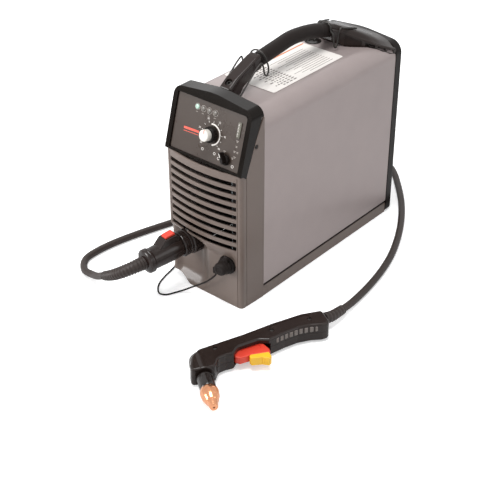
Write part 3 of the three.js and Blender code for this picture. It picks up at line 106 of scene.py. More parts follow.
def curve_through(name, line, radius, sides=4, radii=None):
    """A round cord along a line, as a curve with one open spline. Each of radii scales it at one point.

    The thickness is written as each point's radius, because Blender counts that radius in the curve's box.
    """
    data = bpy.data.curves.new(name, "CURVE")
    data.dimensions = "3D"
    data.bevel_depth = 1
    data.bevel_resolution = sides
    data.use_fill_caps = True
    spline = data.splines.new("POLY")
    spline.points.add(len(line) - 1)
    for k, p in enumerate(line):
        spline.points[k].co = (*p, 1)
        spline.points[k].radius = radius * (radii[k] if radii else 1)
    piece = bpy.data.objects.new(name, data)
    bpy.context.scene.collection.objects.link(piece)
    return piece


# %% [markdown]
# ## The torch lead
# The lead carries air and current to the torch in one thick rubber jacket. It leaves the plug's boot, drops
# to the floor and loops to the left of the case. Most of what doesn't show is wound into a flat two-layer
# coil close beside the case, and the lead then comes round the back to the torch. It is one length, so it
# is one open line.

# %% Route of the lead
LEAD_DIAMETER = 13
FLOOR_Z = LEAD_DIAMETER / 2 + 0.1
COIL_CENTRE = (-213, 110)
COIL_OUTER_RADIUS = 103.5
COIL_PITCH = 13.6
COIL_TURNS = 8
COIL_STEPS = 48


def ease(t):
    t = min(1, max(0, t))
    return t * t * (3 - 2 * t)


def coil_point(turn):
    """Spirals inwards on the floor for half the turns, and back outwards one layer higher."""
    half = COIL_TURNS / 2
    away = math.hypot(turn - half, 0.03) - math.hypot(half, 0.03)
    radius = COIL_OUTER_RADIUS + away * COIL_PITCH
    angle = 2 * math.pi * turn
    rise = COIL_PITCH * ease((turn - half + 0.25) / 0.5)
    return (COIL_CENTRE[0] + radius * math.cos(angle), COIL_CENTRE[1] + radius * math.sin(angle),
            FLOOR_Z + rise)


lead_front = [(-126.75, -343.92, 41.84), (-138.5, -340, 34.2), (-157, -334.5, 22.5), (-177, -327.5, 13),
              (-202, -323, 8), (-221.5, -309, FLOOR_Z), (-232, -292, FLOOR_Z), (-234.5, -267, FLOOR_Z),
              (-232.5, -236.5, FLOOR_Z), (-226.5, -203, FLOOR_Z), (-218, -168.5, FLOOR_Z),
              (-206.5, -129.5, FLOOR_Z), (-192.5, -88, FLOOR_Z), (-175, -45, FLOOR_Z), (-153, -2, FLOOR_Z),
              (-133, 33, FLOOR_Z), (-117, 62, FLOOR_Z), (-111, 76.5, FLOOR_Z), (-109.5, 90, FLOOR_Z),
              (-109.5, 96.7, FLOOR_Z)]
UPPER_Z = FLOOR_Z + COIL_PITCH
lead_rear = [(-109.5, 123.3, UPPER_Z), (-109.5, 129, UPPER_Z), (-109.5, 144, 18.6), (-109.5, 168, 14),
             (-109.5, 194, 9), (-109.3, 220, 6.9), (-108, 250, FLOOR_Z), (-104, 284, FLOOR_Z),
             (-94, 315, FLOOR_Z), (-75, 342, FLOOR_Z), (-46, 358, FLOOR_Z), (-14, 356, FLOOR_Z),
             (14, 339, FLOOR_Z), (53, 299, FLOOR_Z), (98, 245, FLOOR_Z), (137, 186, FLOOR_Z),
             (168, 127, FLOOR_Z), (190, 74, FLOOR_Z), (205, 22, FLOOR_Z), (215, -30, FLOOR_Z),
             (220.5, -72, 7.4), (223.5, -100, 9.4), (225, -122, 12)]
stretches = [smooth_line(metres(lead_front), 6),
             metres([coil_point(k / COIL_STEPS) for k in range(COIL_TURNS * COIL_STEPS + 1)]),
             smooth_line(metres(lead_rear), 6)]
lead_line = sum(stretches, [])
lead = curve_through("torch_lead", lead_line, LEAD_DIAMETER / 2 * MM, sides=5)

# %% [markdown]
# ## The cap's cord
# The work socket's cap hangs on a thin plastic cord, so that it isn't lost while the socket is in use. The
# cord hangs from the cap's ear to the floor and runs back to the left side of the front moulding.

# %% Route of the cap's cord
CAP_CORD_DIAMETER = 3.2
cap_cord_points = [
    (39, -239, 65.7), (39, -239, 63), (34, -240.5, 56), (20, -242, 41.5), (2, -242.5, 27), (-15, -244, 14.5),
    (-28, -249, 5.5), (-38, -261, 2), (-46, -276, 1.8), (-57, -281, 1.8), (-70, -272, 1.8), (-80, -257, 1.8),
    (-86.5, -238, 1.8), (-92, -214, 1.8), (-95, -197, 4), (-93.4, -187, 12), (-86.9, -181, 21),
]
cap_cord_line = smooth_line(metres(cap_cord_points), 6)
cap_cord = curve_through("cap_cord", cap_cord_line, CAP_CORD_DIAMETER / 2 * MM)
print("cap's cord:", round(length_of(cap_cord_line), 3), "m")

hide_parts("torch_lead_front", "torch_lead_coil", "torch_lead_rear")
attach(lead, "case")
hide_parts("cap_lanyard")
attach(cap_cord, "case")

# %% [markdown]
# ## Stage and light
# A plain pale floor, broad soft lamps above and at the left front, and weaker ones from the right and the
# back, as in a product studio; the one at the back draws the bright rims of the black mouldings. The world
# is bright grey to light and reflect in the object, and white where the camera, a gloss or glass sees it.
# The floor is a pale diffuse sheet that catches the shadow; a little glow for the camera alone lifts it to
# white.

# %% Functions for nodes and colours
def add_node(tree, kind, settings=None, links=None):
    """Adds a node. settings maps a property or input name to its value, links an input name to a socket."""
    node = tree.nodes.new(kind)
    for key, value in (settings or {}).items():
        if isinstance(key, str) and hasattr(node, key) and key not in node.inputs:
            setattr(node, key, value)
        else:
            node.inputs[key].default_value = value
    for key, socket in (links or {}).items():
        tree.links.new(socket, node.inputs[key])
    return node


def linear(hex_colour):
    """An sRGB hex colour such as "8f8b8d" as the linear colour that a shader works in."""
    parts = [int(hex_colour[k:k + 2], 16) / 255 for k in (0, 2, 4)]
    return (*[c / 12.92 if c <= 0.04045 else ((c + 0.055) / 1.055) ** 2.4 for c in parts], 1.0)


def empty_tree(owner):
    owner.use_nodes = True
    owner.node_tree.nodes.clear()
    return owner.node_tree


# %% World, floor and lamps
WORLD_STRENGTH = 0.5
FLOOR_SIZE = 30
FLOOR_GLOW = 0.45
bpy.context.scene.view_settings.view_transform = "Standard"
world = bpy.data.worlds.new("studio")
bpy.context.scene.world = world
tree = empty_tree(world)
rays = add_node(tree, "ShaderNodeLightPath")
seen = add_node(tree, "ShaderNodeMath", {"operation": "MAXIMUM"},
                {0: rays.outputs["Is Camera Ray"], 1: rays.outputs["Is Transmission Ray"]})
seen = add_node(tree, "ShaderNodeMath", {"operation": "MAXIMUM"},
                {0: seen.outputs[0], 1: rays.outputs["Is Glossy Ray"]})
soft = add_node(tree, "ShaderNodeBackground", {"Color": linear("f2f3f5"), "Strength": WORLD_STRENGTH})
white = add_node(tree, "ShaderNodeBackground", {"Color": linear("ffffff"), "Strength": 1.0})
mixed = add_node(tree, "ShaderNodeMixShader", {},
                 {0: seen.outputs[0], 1: soft.outputs[0], 2: white.outputs[0]})
add_node(tree, "ShaderNodeOutputWorld", {}, {"Surface": mixed.outputs[0]})

bpy.ops.mesh.primitive_plane_add(size=FLOOR_SIZE, location=(0, 0, -0.0002))
floor = bpy.context.object
floor.name = "floor"
floor_finish = bpy.data.materials.new("pale_floor")
tree = empty_tree(floor_finish)
rays = add_node(tree, "ShaderNodeLightPath")
glow = add_node(tree, "ShaderNodeMath", {"operation": "MULTIPLY", 1: FLOOR_GLOW},
                {0: rays.outputs["Is Camera Ray"]})
sheet = add_node(tree, "ShaderNodeBsdfDiffuse", {"Color": linear("f4f4f4")})
lift = add_node(tree, "ShaderNodeEmission", {"Color": linear("ffffff")}, {"Strength": glow.outputs[0]})
both = add_node(tree, "ShaderNodeAddShader", {}, {0: sheet.outputs[0], 1: lift.outputs[0]})
add_node(tree, "ShaderNodeOutputMaterial", {}, {"Surface": both.outputs[0]})
floor.data.materials.append(floor_finish)

# Each lamp is a disc that looks at the middle of the case: its place, its size in metres and its watts.
LAMP_AIM = Vector((0, 0, 0.2))
lamps = {"top_lamp": ((0.1, -0.5, 2.9), 1.5, 62), "back_lamp": ((-1.6, 2.1, 1.6), 1.6, 6),
         "side_lamp": ((2.6, 0.3, 1.5), 1.4, 9), "front_lamp": ((-1.5, -2.5, 1.1), 1.2, 58)}
for name, (place, size, watts) in lamps.items():
    bpy.ops.object.light_add(type="AREA", location=place)
    lamp = bpy.context.object
    lamp.name = name
    lamp.data.shape = "DISK"
    lamp.data.size = size
    lamp.data.energy = watts
    lamp.rotation_euler = (LAMP_AIM - Vector(place)).to_track_quat("-Z", "Y").to_euler()
print("stage and", len(lamps), "lamps are set")

# %% [markdown]
# ## Finishes
# Nearly every piece is moulded, painted, drawn or turned, and each of these leaves a grain of its own size:
# orange peel on powder coat, spark-eroded grain on grey mouldings, fine drag lines on wire. One function
# builds such a surface from a colour, a gloss and a grain in millimetres. A slow cloud over a few
# centimetres shifts the shade and the gloss a little, because no real surface is even. The colour stays
# close to what the eye reads in daylight.

# %% A surface with a grain of real size
def surface(name, colour, roughness, grain_mm, grain_depth, metallic=0.0, unevenness=0.05, gloss_change=0.06,
            shine=0.5, clear=0.0):
    finish = bpy.data.materials.new(name)
    tree = empty_tree(finish)
    place = add_node(tree, "ShaderNodeTexCoord").outputs["Object"]
    grain = add_node(tree, "ShaderNodeTexNoise", {"Scale": 1 / (grain_mm * MM), "Detail": 3.0},
                     {"Vector": place})
    bump = add_node(tree, "ShaderNodeBump", {"Strength": grain_depth, "Distance": grain_mm * MM * 0.4},
                    {"Height": grain.outputs[0]})
    cloud = add_node(tree, "ShaderNodeTexNoise", {"Scale": 22.0, "Detail": 5.0, "Roughness": 0.6},
                     {"Vector": place})
    shade, gloss = [
        add_node(tree, "ShaderNodeMapRange", {"From Min": 0.2, "From Max": 0.8, "To Min": middle - change,
                 "To Max": middle + change}, {"Value": cloud.outputs[0]})
        for middle, change in ((1, unevenness), (roughness, gloss_change))
    ]
    tint = add_node(tree, "ShaderNodeHueSaturation", {"Color": linear(colour)}, {"Value": shade.outputs[0]})
    skin = add_node(tree, "ShaderNodeBsdfPrincipled",
                    {"Metallic": metallic, "Specular IOR Level": shine, "Transmission Weight": clear},
                    {"Base Color": tint.outputs[0], "Roughness": gloss.outputs[0], "Normal": bump.outputs[0]})
    add_node(tree, "ShaderNodeOutputMaterial", {}, {"Surface": skin.outputs[0]})
    return finish


# %% Painted, moulded and rubber finishes
INK = {"roughness": 0.5, "grain_mm": 0.3, "grain_depth": 0.05, "unevenness": 0.03}
finishes = {
    # Powder coat on bent sheet steel: a little metal flake under a satin film with fine orange peel.
    "silver_paint": surface("powder_coated_steel", "9b8f8d", 0.38, 1.1, 0.10, metallic=0.25),
    # Glass-filled nylon from a spark-eroded mould: an even matt grain of about half a millimetre.
    "grey_moulding": surface("grained_grey_nylon", "6c5f58", 0.30, 0.5, 0.06, unevenness=0.03,
                             gloss_change=0.02, shine=0.35),
    "black_moulding": surface("grained_black_nylon", "130e0c", 0.36, 0.5, 0.15, shine=0.14),
    # The same nylon from a smoother mould, as on handles and housings that are held.
    "satin_black": surface("satin_black_nylon", "241b18", 0.22, 0.7, 0.05, shine=0.3),
    # Polished mould: the same plastic without grain, so it mirrors the lamps.
    "gloss_black": surface("polished_black_abs", "120d09", 0.13, 6.0, 0.02, gloss_change=0.03, shine=0.14),
    # Printed polycarbonate film over the panel.
    "panel_film": surface("printed_panel_film", "3f352f", 0.30, 0.3, 0.08, shine=0.25),
    "pale_knob": surface("pale_moulded_knob", "d8d4cc", 0.38, 0.4, 0.06),
    # Rubber is matt and marks easily; a boot's is softer and greyer than a grip's.
    "rubber": surface("moulded_rubber", "1a1412", 0.55, 0.6, 0.20, unevenness=0.10, shine=0.15),
    "boot_rubber": surface("flexible_boot_rubber", "2e2623", 0.45, 0.6, 0.15, unevenness=0.10, shine=0.3),
    # Rubber painted lighter than the grip: its pale grey is a painted highlight on the finger ribs.
    "rib_highlight_rubber": surface("painted_highlight_rubber", "6a615c", 0.45, 0.6, 0.15, unevenness=0.12),
    "lead_jacket": surface("extruded_lead_jacket", "322a27", 0.50, 1.4, 0.25, unevenness=0.12, shine=0.3),
    "label": surface("printed_label_film", "e0dbd6", 0.50, 0.5, 0.05),
    # Acetal slides well and is coloured right through, so triggers and buttons are made of it.
    "red_moulding": surface("red_acetal", "d8412f", 0.34, 0.5, 0.08),
    "yellow_moulding": surface("yellow_acetal", "f0bb2a", 0.34, 0.5, 0.08),
    "head_resin": surface("heat_resistant_resin", "2e2927", 0.46, 0.5, 0.15),
    "retaining_cup": surface("glazed_retaining_cup", "1c1614", 0.12, 3.0, 0.05),
    "inner_black": surface("plain_black_plastic", "191818", 0.5, 0.5, 0.15),
    # Screen-printed inks: opaque, a little matt.
    "white_print": surface("white_ink", "e6e0da", **INK),
    "pale_print": surface("pale_grey_ink", "a89f98", **INK),
    "rule_print": surface("grey_ink", "6d6561", **INK),
    "red_print": surface("red_ink", "e0503c", **INK),
    "orange_print": surface("orange_ink", "c9703c", **INK),
}
print("finishes so far:", len(finishes))

# %% Metals, lenses and the inside
finishes.update({
    # Bright zinc on wire and screws: drawn and plated, so its gloss is broken by fine drag.
    "steel": surface("zinc_plated_steel", "b9b7b2", 0.28, 0.4, 0.15, metallic=1.0),
    "dark_zinc": surface("black_zinc_plated_steel", "3a3836", 0.35, 0.4, 0.15, metallic=0.8),
    # Turned metals keep the fine rings of the tool, which widen their highlights.
    "brass": surface("turned_brass", "c9a25a", 0.30, 0.3, 0.10, metallic=1.0),
    "copper": surface("turned_copper", "dc9c76", 0.22, 0.4, 0.12, metallic=1.0, unevenness=0.10),
    "bare_aluminium": surface("extruded_aluminium", "b9bcc0", 0.36, 0.3, 0.12, metallic=1.0),
    "valve_metal": surface("cast_valve_metal", "8f9295", 0.45, 0.6, 0.25, metallic=0.9),
    "core_steel": surface("stacked_core_steel", "4d4c4e", 0.55, 0.5, 0.25, metallic=0.4),
    "winding": surface("enamelled_copper_wire", "b3683a", 0.35, 0.8, 0.30, metallic=0.7),
    "circuit_board": surface("solder_mask_green", "2c5a39", 0.40, 0.8, 0.15),
    "capacitor_sleeve": surface("shrink_sleeve_blue", "2b3552", 0.35, 0.9, 0.10),
    # Lenses are moulded frosted; the lit one is a green lens whose glow is painted in as a pale tone.
    "lamp_lens": surface("frosted_lamp_lens", "5d5751", 0.30, 0.3, 0.10),
    "lit_lens": surface("painted_glow_lamp_lens", "a9c6b6", 0.25, 0.3, 0.08),
    "window": surface("smoked_window", "6f6c61", 0.18, 0.4, 0.04, clear=0.2),
})
slot_of = {part["node"]: part["material_slot"] for part in frame["record"]["subparts"]}
slot_of.update({"fan_frame": "inner_black", "fan_rotor": "inner_black", "cap_lanyard": "rubber"})
for node, slot in slot_of.items():
    nodes[node].data.materials.clear()
    nodes[node].data.materials.append(finishes[slot])
lead.data.materials.append(finishes["lead_jacket"])
cap_cord.data.materials.append(finishes["rubber"])
print("nodes without a finish:", sorted(set(nodes) - set(slot_of)))

# %% [markdown]
# ## Modelling helpers
# Every piece starts as a primitive at its size and place, is shaped in edit mode, and is finished by
# modifiers that are then applied. Operators act on all that is selected, so each helper selects exactly the
# piece, or the faces and edges that it needs, and leaves everything deselected. All lengths given to a
# helper are in millimetres.

# %% Select, edit, apply and round
def only(piece):
    bpy.ops.object.select_all(action="DESELECT")
    piece.select_set(True)
    bpy.context.view_layer.objects.active = piece


def modify(piece, kind, **settings):
    """Adds a modifier and applies it at once."""
    only(piece)
    modifier = piece.modifiers.new(kind.lower(), kind)
    for key, value in settings.items():
        setattr(modifier, key, value)
    bpy.ops.object.modifier_apply(modifier=modifier.name)


def round_edges(piece, width, segments=3, angle=32):
    modify(piece, "BEVEL", width=width * MM, segments=segments, limit_method="ANGLE",
           angle_limit=math.radians(angle), use_clamp_overlap=True)


def carve(piece, tool, operation="DIFFERENCE"):
    """Cuts a tool out of a piece, keeps what both fill or adds the tool, and then deletes the tool."""
    modify(piece, "BOOLEAN", object=tool, operation=operation, solver="EXACT")
    bpy.data.objects.remove(tool)


def edit(piece, *steps):
    """Runs edit-mode steps on a whole piece."""
    only(piece)
    bpy.ops.object.mode_set(mode="EDIT")
    bpy.ops.mesh.select_all(action="SELECT")
    for step in steps:
        step()
    bpy.ops.object.mode_set(mode="OBJECT")


def face_outwards():
    bpy.ops.mesh.select_all(action="SELECT")
    bpy.ops.mesh.normals_make_consistent(inside=False)


def merge_points():
    bpy.ops.mesh.select_all(action="SELECT")
    bpy.ops.mesh.remove_doubles(threshold=0.01 * MM)


def choose_faces(piece, test):
    """Selects the faces whose middle passes a test, and stays in edit mode."""
    only(piece)
    bpy.ops.object.mode_set(mode="EDIT")
    bpy.ops.mesh.select_all(action="DESELECT")
    bpy.ops.mesh.select_mode(type="FACE")
    bpy.ops.object.mode_set(mode="OBJECT")
    for face in piece.data.polygons:
        face.select = test(face.center / MM)
    bpy.ops.object.mode_set(mode="EDIT")


def merged_pieces(name, made):
    """Joins several pieces into one."""
    bpy.ops.object.select_all(action="DESELECT")
    for piece in made:
        piece.select_set(True)
    bpy.context.view_layer.objects.active = made[0]
    if len(made) > 1:
        bpy.ops.object.join()
    made[0].name = name
    return made[0]


# %% Places: matrices that carry a piece from the origin to where it sits
def at(x, y, z):
    return Matrix.Translation(Vector((x, y, z)) * MM)


def turn(degrees, axis):
    return Matrix.Rotation(math.radians(degrees), 4, axis)


def towards(axis):
    """Turns +Z to an axis."""
    return Vector((0, 0, 1)).rotation_difference(Vector(axis)).to_matrix().to_4x4()


def moved(piece, place):
    piece.data.transform(place)
    return piece


# %% Hand a finished piece over
# Finishes that stand beside a slot of the record, such as the inks on a label.
body_of_node = {node: body for body, members in frame["record"]["behaviour"]["bodies"].items()
                for node in members}


def hand_over(piece, node=None, finish=None, body="case", angle=35):
    """Shades a finished piece, gives it its surface and ties it to the CAD body that it rides on.

    Weighted normals smooth the soft edges and let the large flat faces keep their own direction.
    """
    finish = finish or slot_of[node]
    body = body_of_node[node] if node else body
    piece.data.materials.clear()
    piece.data.materials.append(finishes[finish])
    only(piece)
    bpy.ops.object.shade_smooth_by_angle(angle=math.radians(angle))
    modify(piece, "WEIGHTED_NORMAL", keep_sharp=True, weight=50)
    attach(piece, body)
    if node:
        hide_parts(node)
    print(piece.name, len(piece.data.polygons), "faces on", body)


# %% Blocks, plates and turned pieces
def block(name, low, high):
    """A cube primitive between two corners."""
    low, high = Vector(low) * MM, Vector(high) * MM
    bpy.ops.mesh.primitive_cube_add(size=1, location=(low + high) / 2)
    piece = bpy.context.object
    piece.name = name
    piece.scale = high - low
    bpy.ops.object.transform_apply(location=True, rotation=True, scale=True)
    return piece


def plate(name, outline, axis, start, end):
    """An outline of (a, b) points pulled straight along an axis, from start to end."""
    place = {"x": lambda a, b, c: (c, a, b), "y": lambda a, b, c: (a, c, b),
             "z": lambda a, b, c: (a, b, c)}[axis]
    bpy.ops.mesh.primitive_circle_add(vertices=len(outline), radius=1, fill_type="NGON")
    piece = bpy.context.object
    piece.name = name
    for vertex, (a, b) in zip(piece.data.vertices, outline):
        vertex.co = Vector(place(a, b, start)) * MM
    pull = Vector(place(0, 0, end)) * MM - Vector(place(0, 0, start)) * MM
    edit(piece, lambda: bpy.ops.mesh.extrude_region_move(TRANSFORM_OT_translate={"value": pull}),
         face_outwards)
    return piece


def rounded(points, steps=6):
    """An outline whose corners are rounded: each point is (a, b) or (a, b, radius)."""
    line = []
    for k, point in enumerate(points):
        here = Vector(point[:2])
        if len(point) < 3:
            line.append(here)
            continue
        before = (Vector(points[k - 1][:2]) - here).normalized()
        after = (Vector(points[(k + 1) % len(points)][:2]) - here).normalized()
        half = before.angle(after) / 2
        centre = here + (before + after).normalized() * point[2] / math.sin(half)
        start = here + before * point[2] / math.tan(half) - centre
        end = here + after * point[2] / math.tan(half) - centre
        sweep = start.angle_signed(end)
        line += [centre + Matrix.Rotation(-sweep * t / steps, 2) @ start for t in range(steps + 1)]
    return [tuple(p) for p in line]


def turned(name, profile, centre=(0, 0, 0), axis=(0, 0, 1), steps=64):
    """A profile of (radius, height) points, spun round an axis through a centre."""
    bpy.ops.mesh.primitive_circle_add(vertices=3, radius=1, fill_type="NOTHING")
    piece = bpy.context.object
    piece.name = name
    mesh = piece.data
    mesh.clear_geometry()
    mesh.from_pydata([(r * MM, 0, h * MM) for r, h in profile],
                     [(k, k + 1) for k in range(len(profile) - 1)], [])
    edit(piece, lambda: bpy.ops.mesh.spin(steps=steps, angle=2 * math.pi, center=(0, 0, 0), axis=(0, 0, 1)),
         merge_points, face_outwards)
    return moved(piece, at(*centre) @ towards(axis))


def drill(piece, radius, low, high, centre=(0, 0, 0), axis=(0, 0, 1), steps=64, mouth=None):
    """Cuts a round hole; mouth is its radius at the high end."""
    profile = [(0, low), (radius, low), (mouth or radius, high), (0, high)]
    carve(piece, turned("drill", profile, centre, axis, steps))


def slab(piece, name, outline, axis, start, end, operation="DIFFERENCE"):
    """Cuts a plate out of a piece, or keeps only what both fill."""
    carve(piece, plate(name, outline, axis, start, end), operation)


# %% [markdown]
# ## Cover and label
# The cover is one sheet, bent over the top in two long rounded edges and painted. Its outline is pulled
# from front to rear, and a second one, two millimetres smaller, is cut out of it, so that the sheet shows
# its thickness. The regulator's knob looks out through a punched hole.

# %% Cover
COVER_HALF = 86
COVER_TOP = 357
COVER_Y = (-166.7, 204.7)
COVER_RADIUS = 32
SHEET = 2
TRAY_TOP = 26.5
REGULATOR_PLACE = (-33, 112)


def cover_outline(inset, low):
    half, top, radius = COVER_HALF - inset, COVER_TOP - inset, COVER_RADIUS - inset
    return rounded([(half, low), (half, top, radius), (-half, top, radius), (-half, low)], 14)


cover_line = cover_outline(0, TRAY_TOP)
cover = plate("cover", cover_line, "y", *COVER_Y)
slab(cover, "inside", cover_outline(SHEET, TRAY_TOP - 5), "y", COVER_Y[0] - 5, COVER_Y[1] + 5)
drill(cover, 14, -10, 10, (*REGULATOR_PLACE, COVER_TOP))
round_edges(cover, 0.5, 2, 50)
hand_over(cover, "cover_shell", angle=25)

# %% [markdown]
# The label is a printed film on the cover's top. Its words aren't made: plain rules stand in their place,
# long thin ones at the rear and short bold ones in front, and one warm stripe runs down its left side to
# the regulator. Each rule is a bar a tenth of a millimetre thick, because that stays sharp at any distance,
# where a texture would blur.

# %% Rules on the label
LABEL_TOP = COVER_TOP + 0.8
RULE_THICKNESS = 0.1


def rule(name, x, y, width, length):
    low = (x - width / 2, y - length / 2, LABEL_TOP)
    return block(name, low, (x + width / 2, y + length / 2, LABEL_TOP + RULE_THICKNESS))


rules = []
for k, x in enumerate(range(-24, 48, 6)):
    long_rule = 92 - 14 * (k % 3)
    rules.append(rule("rule", x, 71 - long_rule / 2, 1.0, long_rule))
    y = -30
    while y > -76 + 9 * (k % 2):
        length = 3 + (7 * k + 11 * len(rules)) % 6
        rules.append(rule("rule", x, y - length / 2, 2.6, length))
        y -= length + 3
hand_over(merged_pieces("label_rules", rules), finish="rule_print")
hand_over(rule("label_stripe", -38, 34, 3.2, 112), finish="orange_print")

# %% [markdown]
# ## Front moulding
# The front is one grey moulding: two corner posts, a swelling wall with nine long louvres between them, and
# a chin that is hollowed out round the torch's receptacle. A wall that curves in two directions is drawn as
# a flat grid whose rows and columns lie where the louvres' edges will be; every point is then set on the
# curved face. The faces of the slots are deleted, Solidify gives the wall its thickness, and Bevel rounds
# the edges as the mould does.

# %% Shape of the front face
FRONT_Y = -223
FRONT_HALF = 84
POST_WIDTH = 9
POST_RADIUS = 8
BULGE = 10
SCOOP_DEPTH = 13
LOUVRE_FOOT = 112
SLOT_TOP_Z = 245
SLOT_PITCH = 15.5
SLOT_HEIGHT = 8.2
SLOT_COUNT = 9
SLOT_HALF_WIDTH = 73
MOULD_WALL = 3
REACH = FRONT_HALF - POST_WIDTH
SEAM = [(-260, 262), (-219, 262), (-211, 256), (-172, 352), (-160, 352)]
FOOT_CURVE = [(-96, 18), (-84, 17), (-72, 15), (-60, 12), (-50, 8), (-42, 3.5), (-37.5, 0.3), (100, 0.3)]


def front_face(x, z):
    """How far back the outer face lies at a place across and up."""
    across = min(1, abs(x) / REACH)
    swell = BULGE * (1 - across**2) * ease((z - 90) / (LOUVRE_FOOT - 90))
    scoop_across = ease((14 - x) / 34) * ease((x + COVER_HALF + 2) / 26)
    scoop_up = ease((LOUVRE_FOOT + 4 - z) / 14) * ease((z - 2) / 24)
    return FRONT_Y - swell + SCOOP_DEPTH * scoop_across * scoop_up


def between(knots, place):
    """What a row of (place, value, ...) knots gives at a place, straight from knot to knot."""
    for before, after in zip(knots, knots[1:]):
        if place <= after[0]:
            t = max(0, (place - before[0]) / (after[0] - before[0]))
            return [a + (b - a) * t for a, b in zip(before[1:], after[1:])]
    return list(knots[-1][1:])


print("louvred wall stands", round(-front_face(0, 180) + FRONT_Y, 1), "mm proud of the posts")

# %% [markdown]
# A column of the grid is a place on the front face, an angle round a corner, or a share of the side's
# depth. A row is a share of the curved foot, a height, or a share of the way up to the slanting seam with
# the hood.

# %% Columns round the front and rows up it
ROW_LOW = 27
ROW_HIGH = 251
slot_heights = [SLOT_TOP_Z - k * SLOT_PITCH for k in range(SLOT_COUNT)]
right = [("front", SLOT_HALF_WIDTH * k / 24) for k in range(25)] + [("front", REACH)]
right += [("corner", k / 8) for k in range(1, 9)] + [("side", t) for t in (0.0, 0.3, 0.6, 0.96, 1.0)]
columns = [(column, -1) for column in reversed(right[1:])] + [(column, 1) for column in right]
heights = {27, 33, 39, 46, 53, 60, 67, 74, 81, 87, 91, 95, 99, 103, 107, 110.5, 114, ROW_HIGH}
for z in slot_heights:
    heights |= {z - SLOT_HEIGHT / 2, z + SLOT_HEIGHT / 2, z + SLOT_PITCH / 2}
rows = [("foot", t / 6) for t in range(6)]
rows += [("level", z) for z in sorted(heights) if z <= ROW_HIGH]
rows += [("seam", t / 6) for t in range(1, 7)]


def column_place(column, side, z):
    """Outer face of a column of the grid, at a height."""
    kind, value = column
    if kind == "front":
        return (side * value, front_face(side * value, z))
    corner_y = front_face(side * (REACH + 1), z) + POST_RADIUS
    if kind == "corner":
        angle = math.pi / 2 * value
        x = FRONT_HALF - POST_RADIUS + POST_RADIUS * math.sin(angle)
        return (side * x, corner_y - POST_RADIUS * math.cos(angle))
    start = corner_y + 4
    return (side * (FRONT_HALF + 2 * value), start + (COVER_Y[0] - 0.3 - start) * value)


def grid_place(column, side, kind, value):
    if kind == "level":
        return (*column_place(column, side, value), value)
    if kind == "seam":
        x, y = column_place(column, side, ROW_HIGH)
        return (x, y, ROW_HIGH + (between(SEAM, y)[0] - ROW_HIGH) * value)
    x, y = column_place(column, side, ROW_LOW)
    foot = between(FOOT_CURVE, x)[0]
    z = foot + (ROW_LOW - foot) * value
    return (*column_place(column, side, z), z)


print("grid of the front moulding:", len(columns), "by", len(rows))

# %% Draw the grid, open the slots and thicken it
bpy.ops.mesh.primitive_grid_add(x_subdivisions=len(columns) - 1, y_subdivisions=len(rows) - 1, size=1)
front = bpy.context.object
front.name = "front_moulding"
for k, vertex in enumerate(front.data.vertices):
    vertex.co = Vector(grid_place(*columns[k % len(columns)], *rows[k // len(columns)])) * MM


def in_slot(p):
    in_wall = abs(p.x) < SLOT_HALF_WIDTH and p.y < -200
    return in_wall and any(abs(p.z - z) < SLOT_HEIGHT / 2 for z in slot_heights)


choose_faces(front, in_slot)
bpy.ops.mesh.delete(type="FACE")
face_outwards()
bpy.ops.object.mode_set(mode="OBJECT")
outer = max(front.data.polygons, key=lambda face: -face.center.y)
if outer.normal.y > 0:
    edit(front, bpy.ops.mesh.flip_normals)
modify(front, "SOLIDIFY", thickness=MOULD_WALL * MM, offset=-1, use_even_offset=True)
round_edges(front, 0.9, 3, 50)

# %% Grooves beside the louvred wall and behind the posts
GROOVE = 1.8
SIDE_GROOVE_Y = -209.7
SIDE_HALF = FRONT_HALF + 1
for side in (-1, 1):
    x = side * REACH
    beside_wall = [(x - side * 0.9, FRONT_Y - 1), (x + side * 0.9, FRONT_Y - 1), (x, FRONT_Y + GROOVE)]
    behind_post = [(side * SIDE_HALF, SIDE_GROOVE_Y - 0.9), (side * SIDE_HALF, SIDE_GROOVE_Y + 0.9),
                   (side * (FRONT_HALF - GROOVE), SIDE_GROOVE_Y)]
    for line in (beside_wall, behind_post):
        slab(front, "groove", line, "z", -5, 258)

# %% Holes of the receptacle, the socket and the screws
PLUG_ORIGIN = (-36, -211, 94)
plug_frame = at(*PLUG_ORIGIN) @ turn(-11, "Z") @ turn(4.5, "X")
plug_axis = (plug_frame.to_3x3() @ Vector((0, -1, 0))).normalized()
SOCKET = (53, FRONT_Y, 82)
SIDE_SCREWS = [(side * 84.4, -186, 305) for side in (-1, 1)]
drill(front, 25.3, -30, 40, PLUG_ORIGIN, plug_axis)
drill(front, 17.3, -12, 20, SOCKET, (0, -1, 0))
for x, y, z in SIDE_SCREWS:
    side = math.copysign(1, x)
    drill(front, 4.2, -1.6, 4, (side * 85, y, z), (side, 0, 0), 32, mouth=4.8)
hand_over(front, "front_bezel", angle=40)

# %% Screws in the front moulding's sides
def cross_screw(name, place, axis, radius):
    """A pan-head screw with a cross recess."""
    head = turned(name, [(0, -2), (radius, -2), (radius, 0.3), (radius * 0.85, 1.0), (radius * 0.5, 1.4),
                         (0, 1.5)], steps=32)
    for w, l in ((0.28, 1.1), (1.1, 0.28)):
        low, high = (-w * radius / 2, -l * radius / 2, 0.4), (w * radius / 2, l * radius / 2, 3)
        carve(head, block("cross", low, high))
    return moved(head, at(*place) @ towards(axis))


def screws(name, places, axis_of, radius):
    made = [cross_screw(name, place, axis_of(place), radius) for place in places]
    hand_over(merged_pieces(name, made), finish="dark_zinc")


screws("side_screws", SIDE_SCREWS, lambda place: (math.copysign(1, place[0]), 0, 0), 3.2)

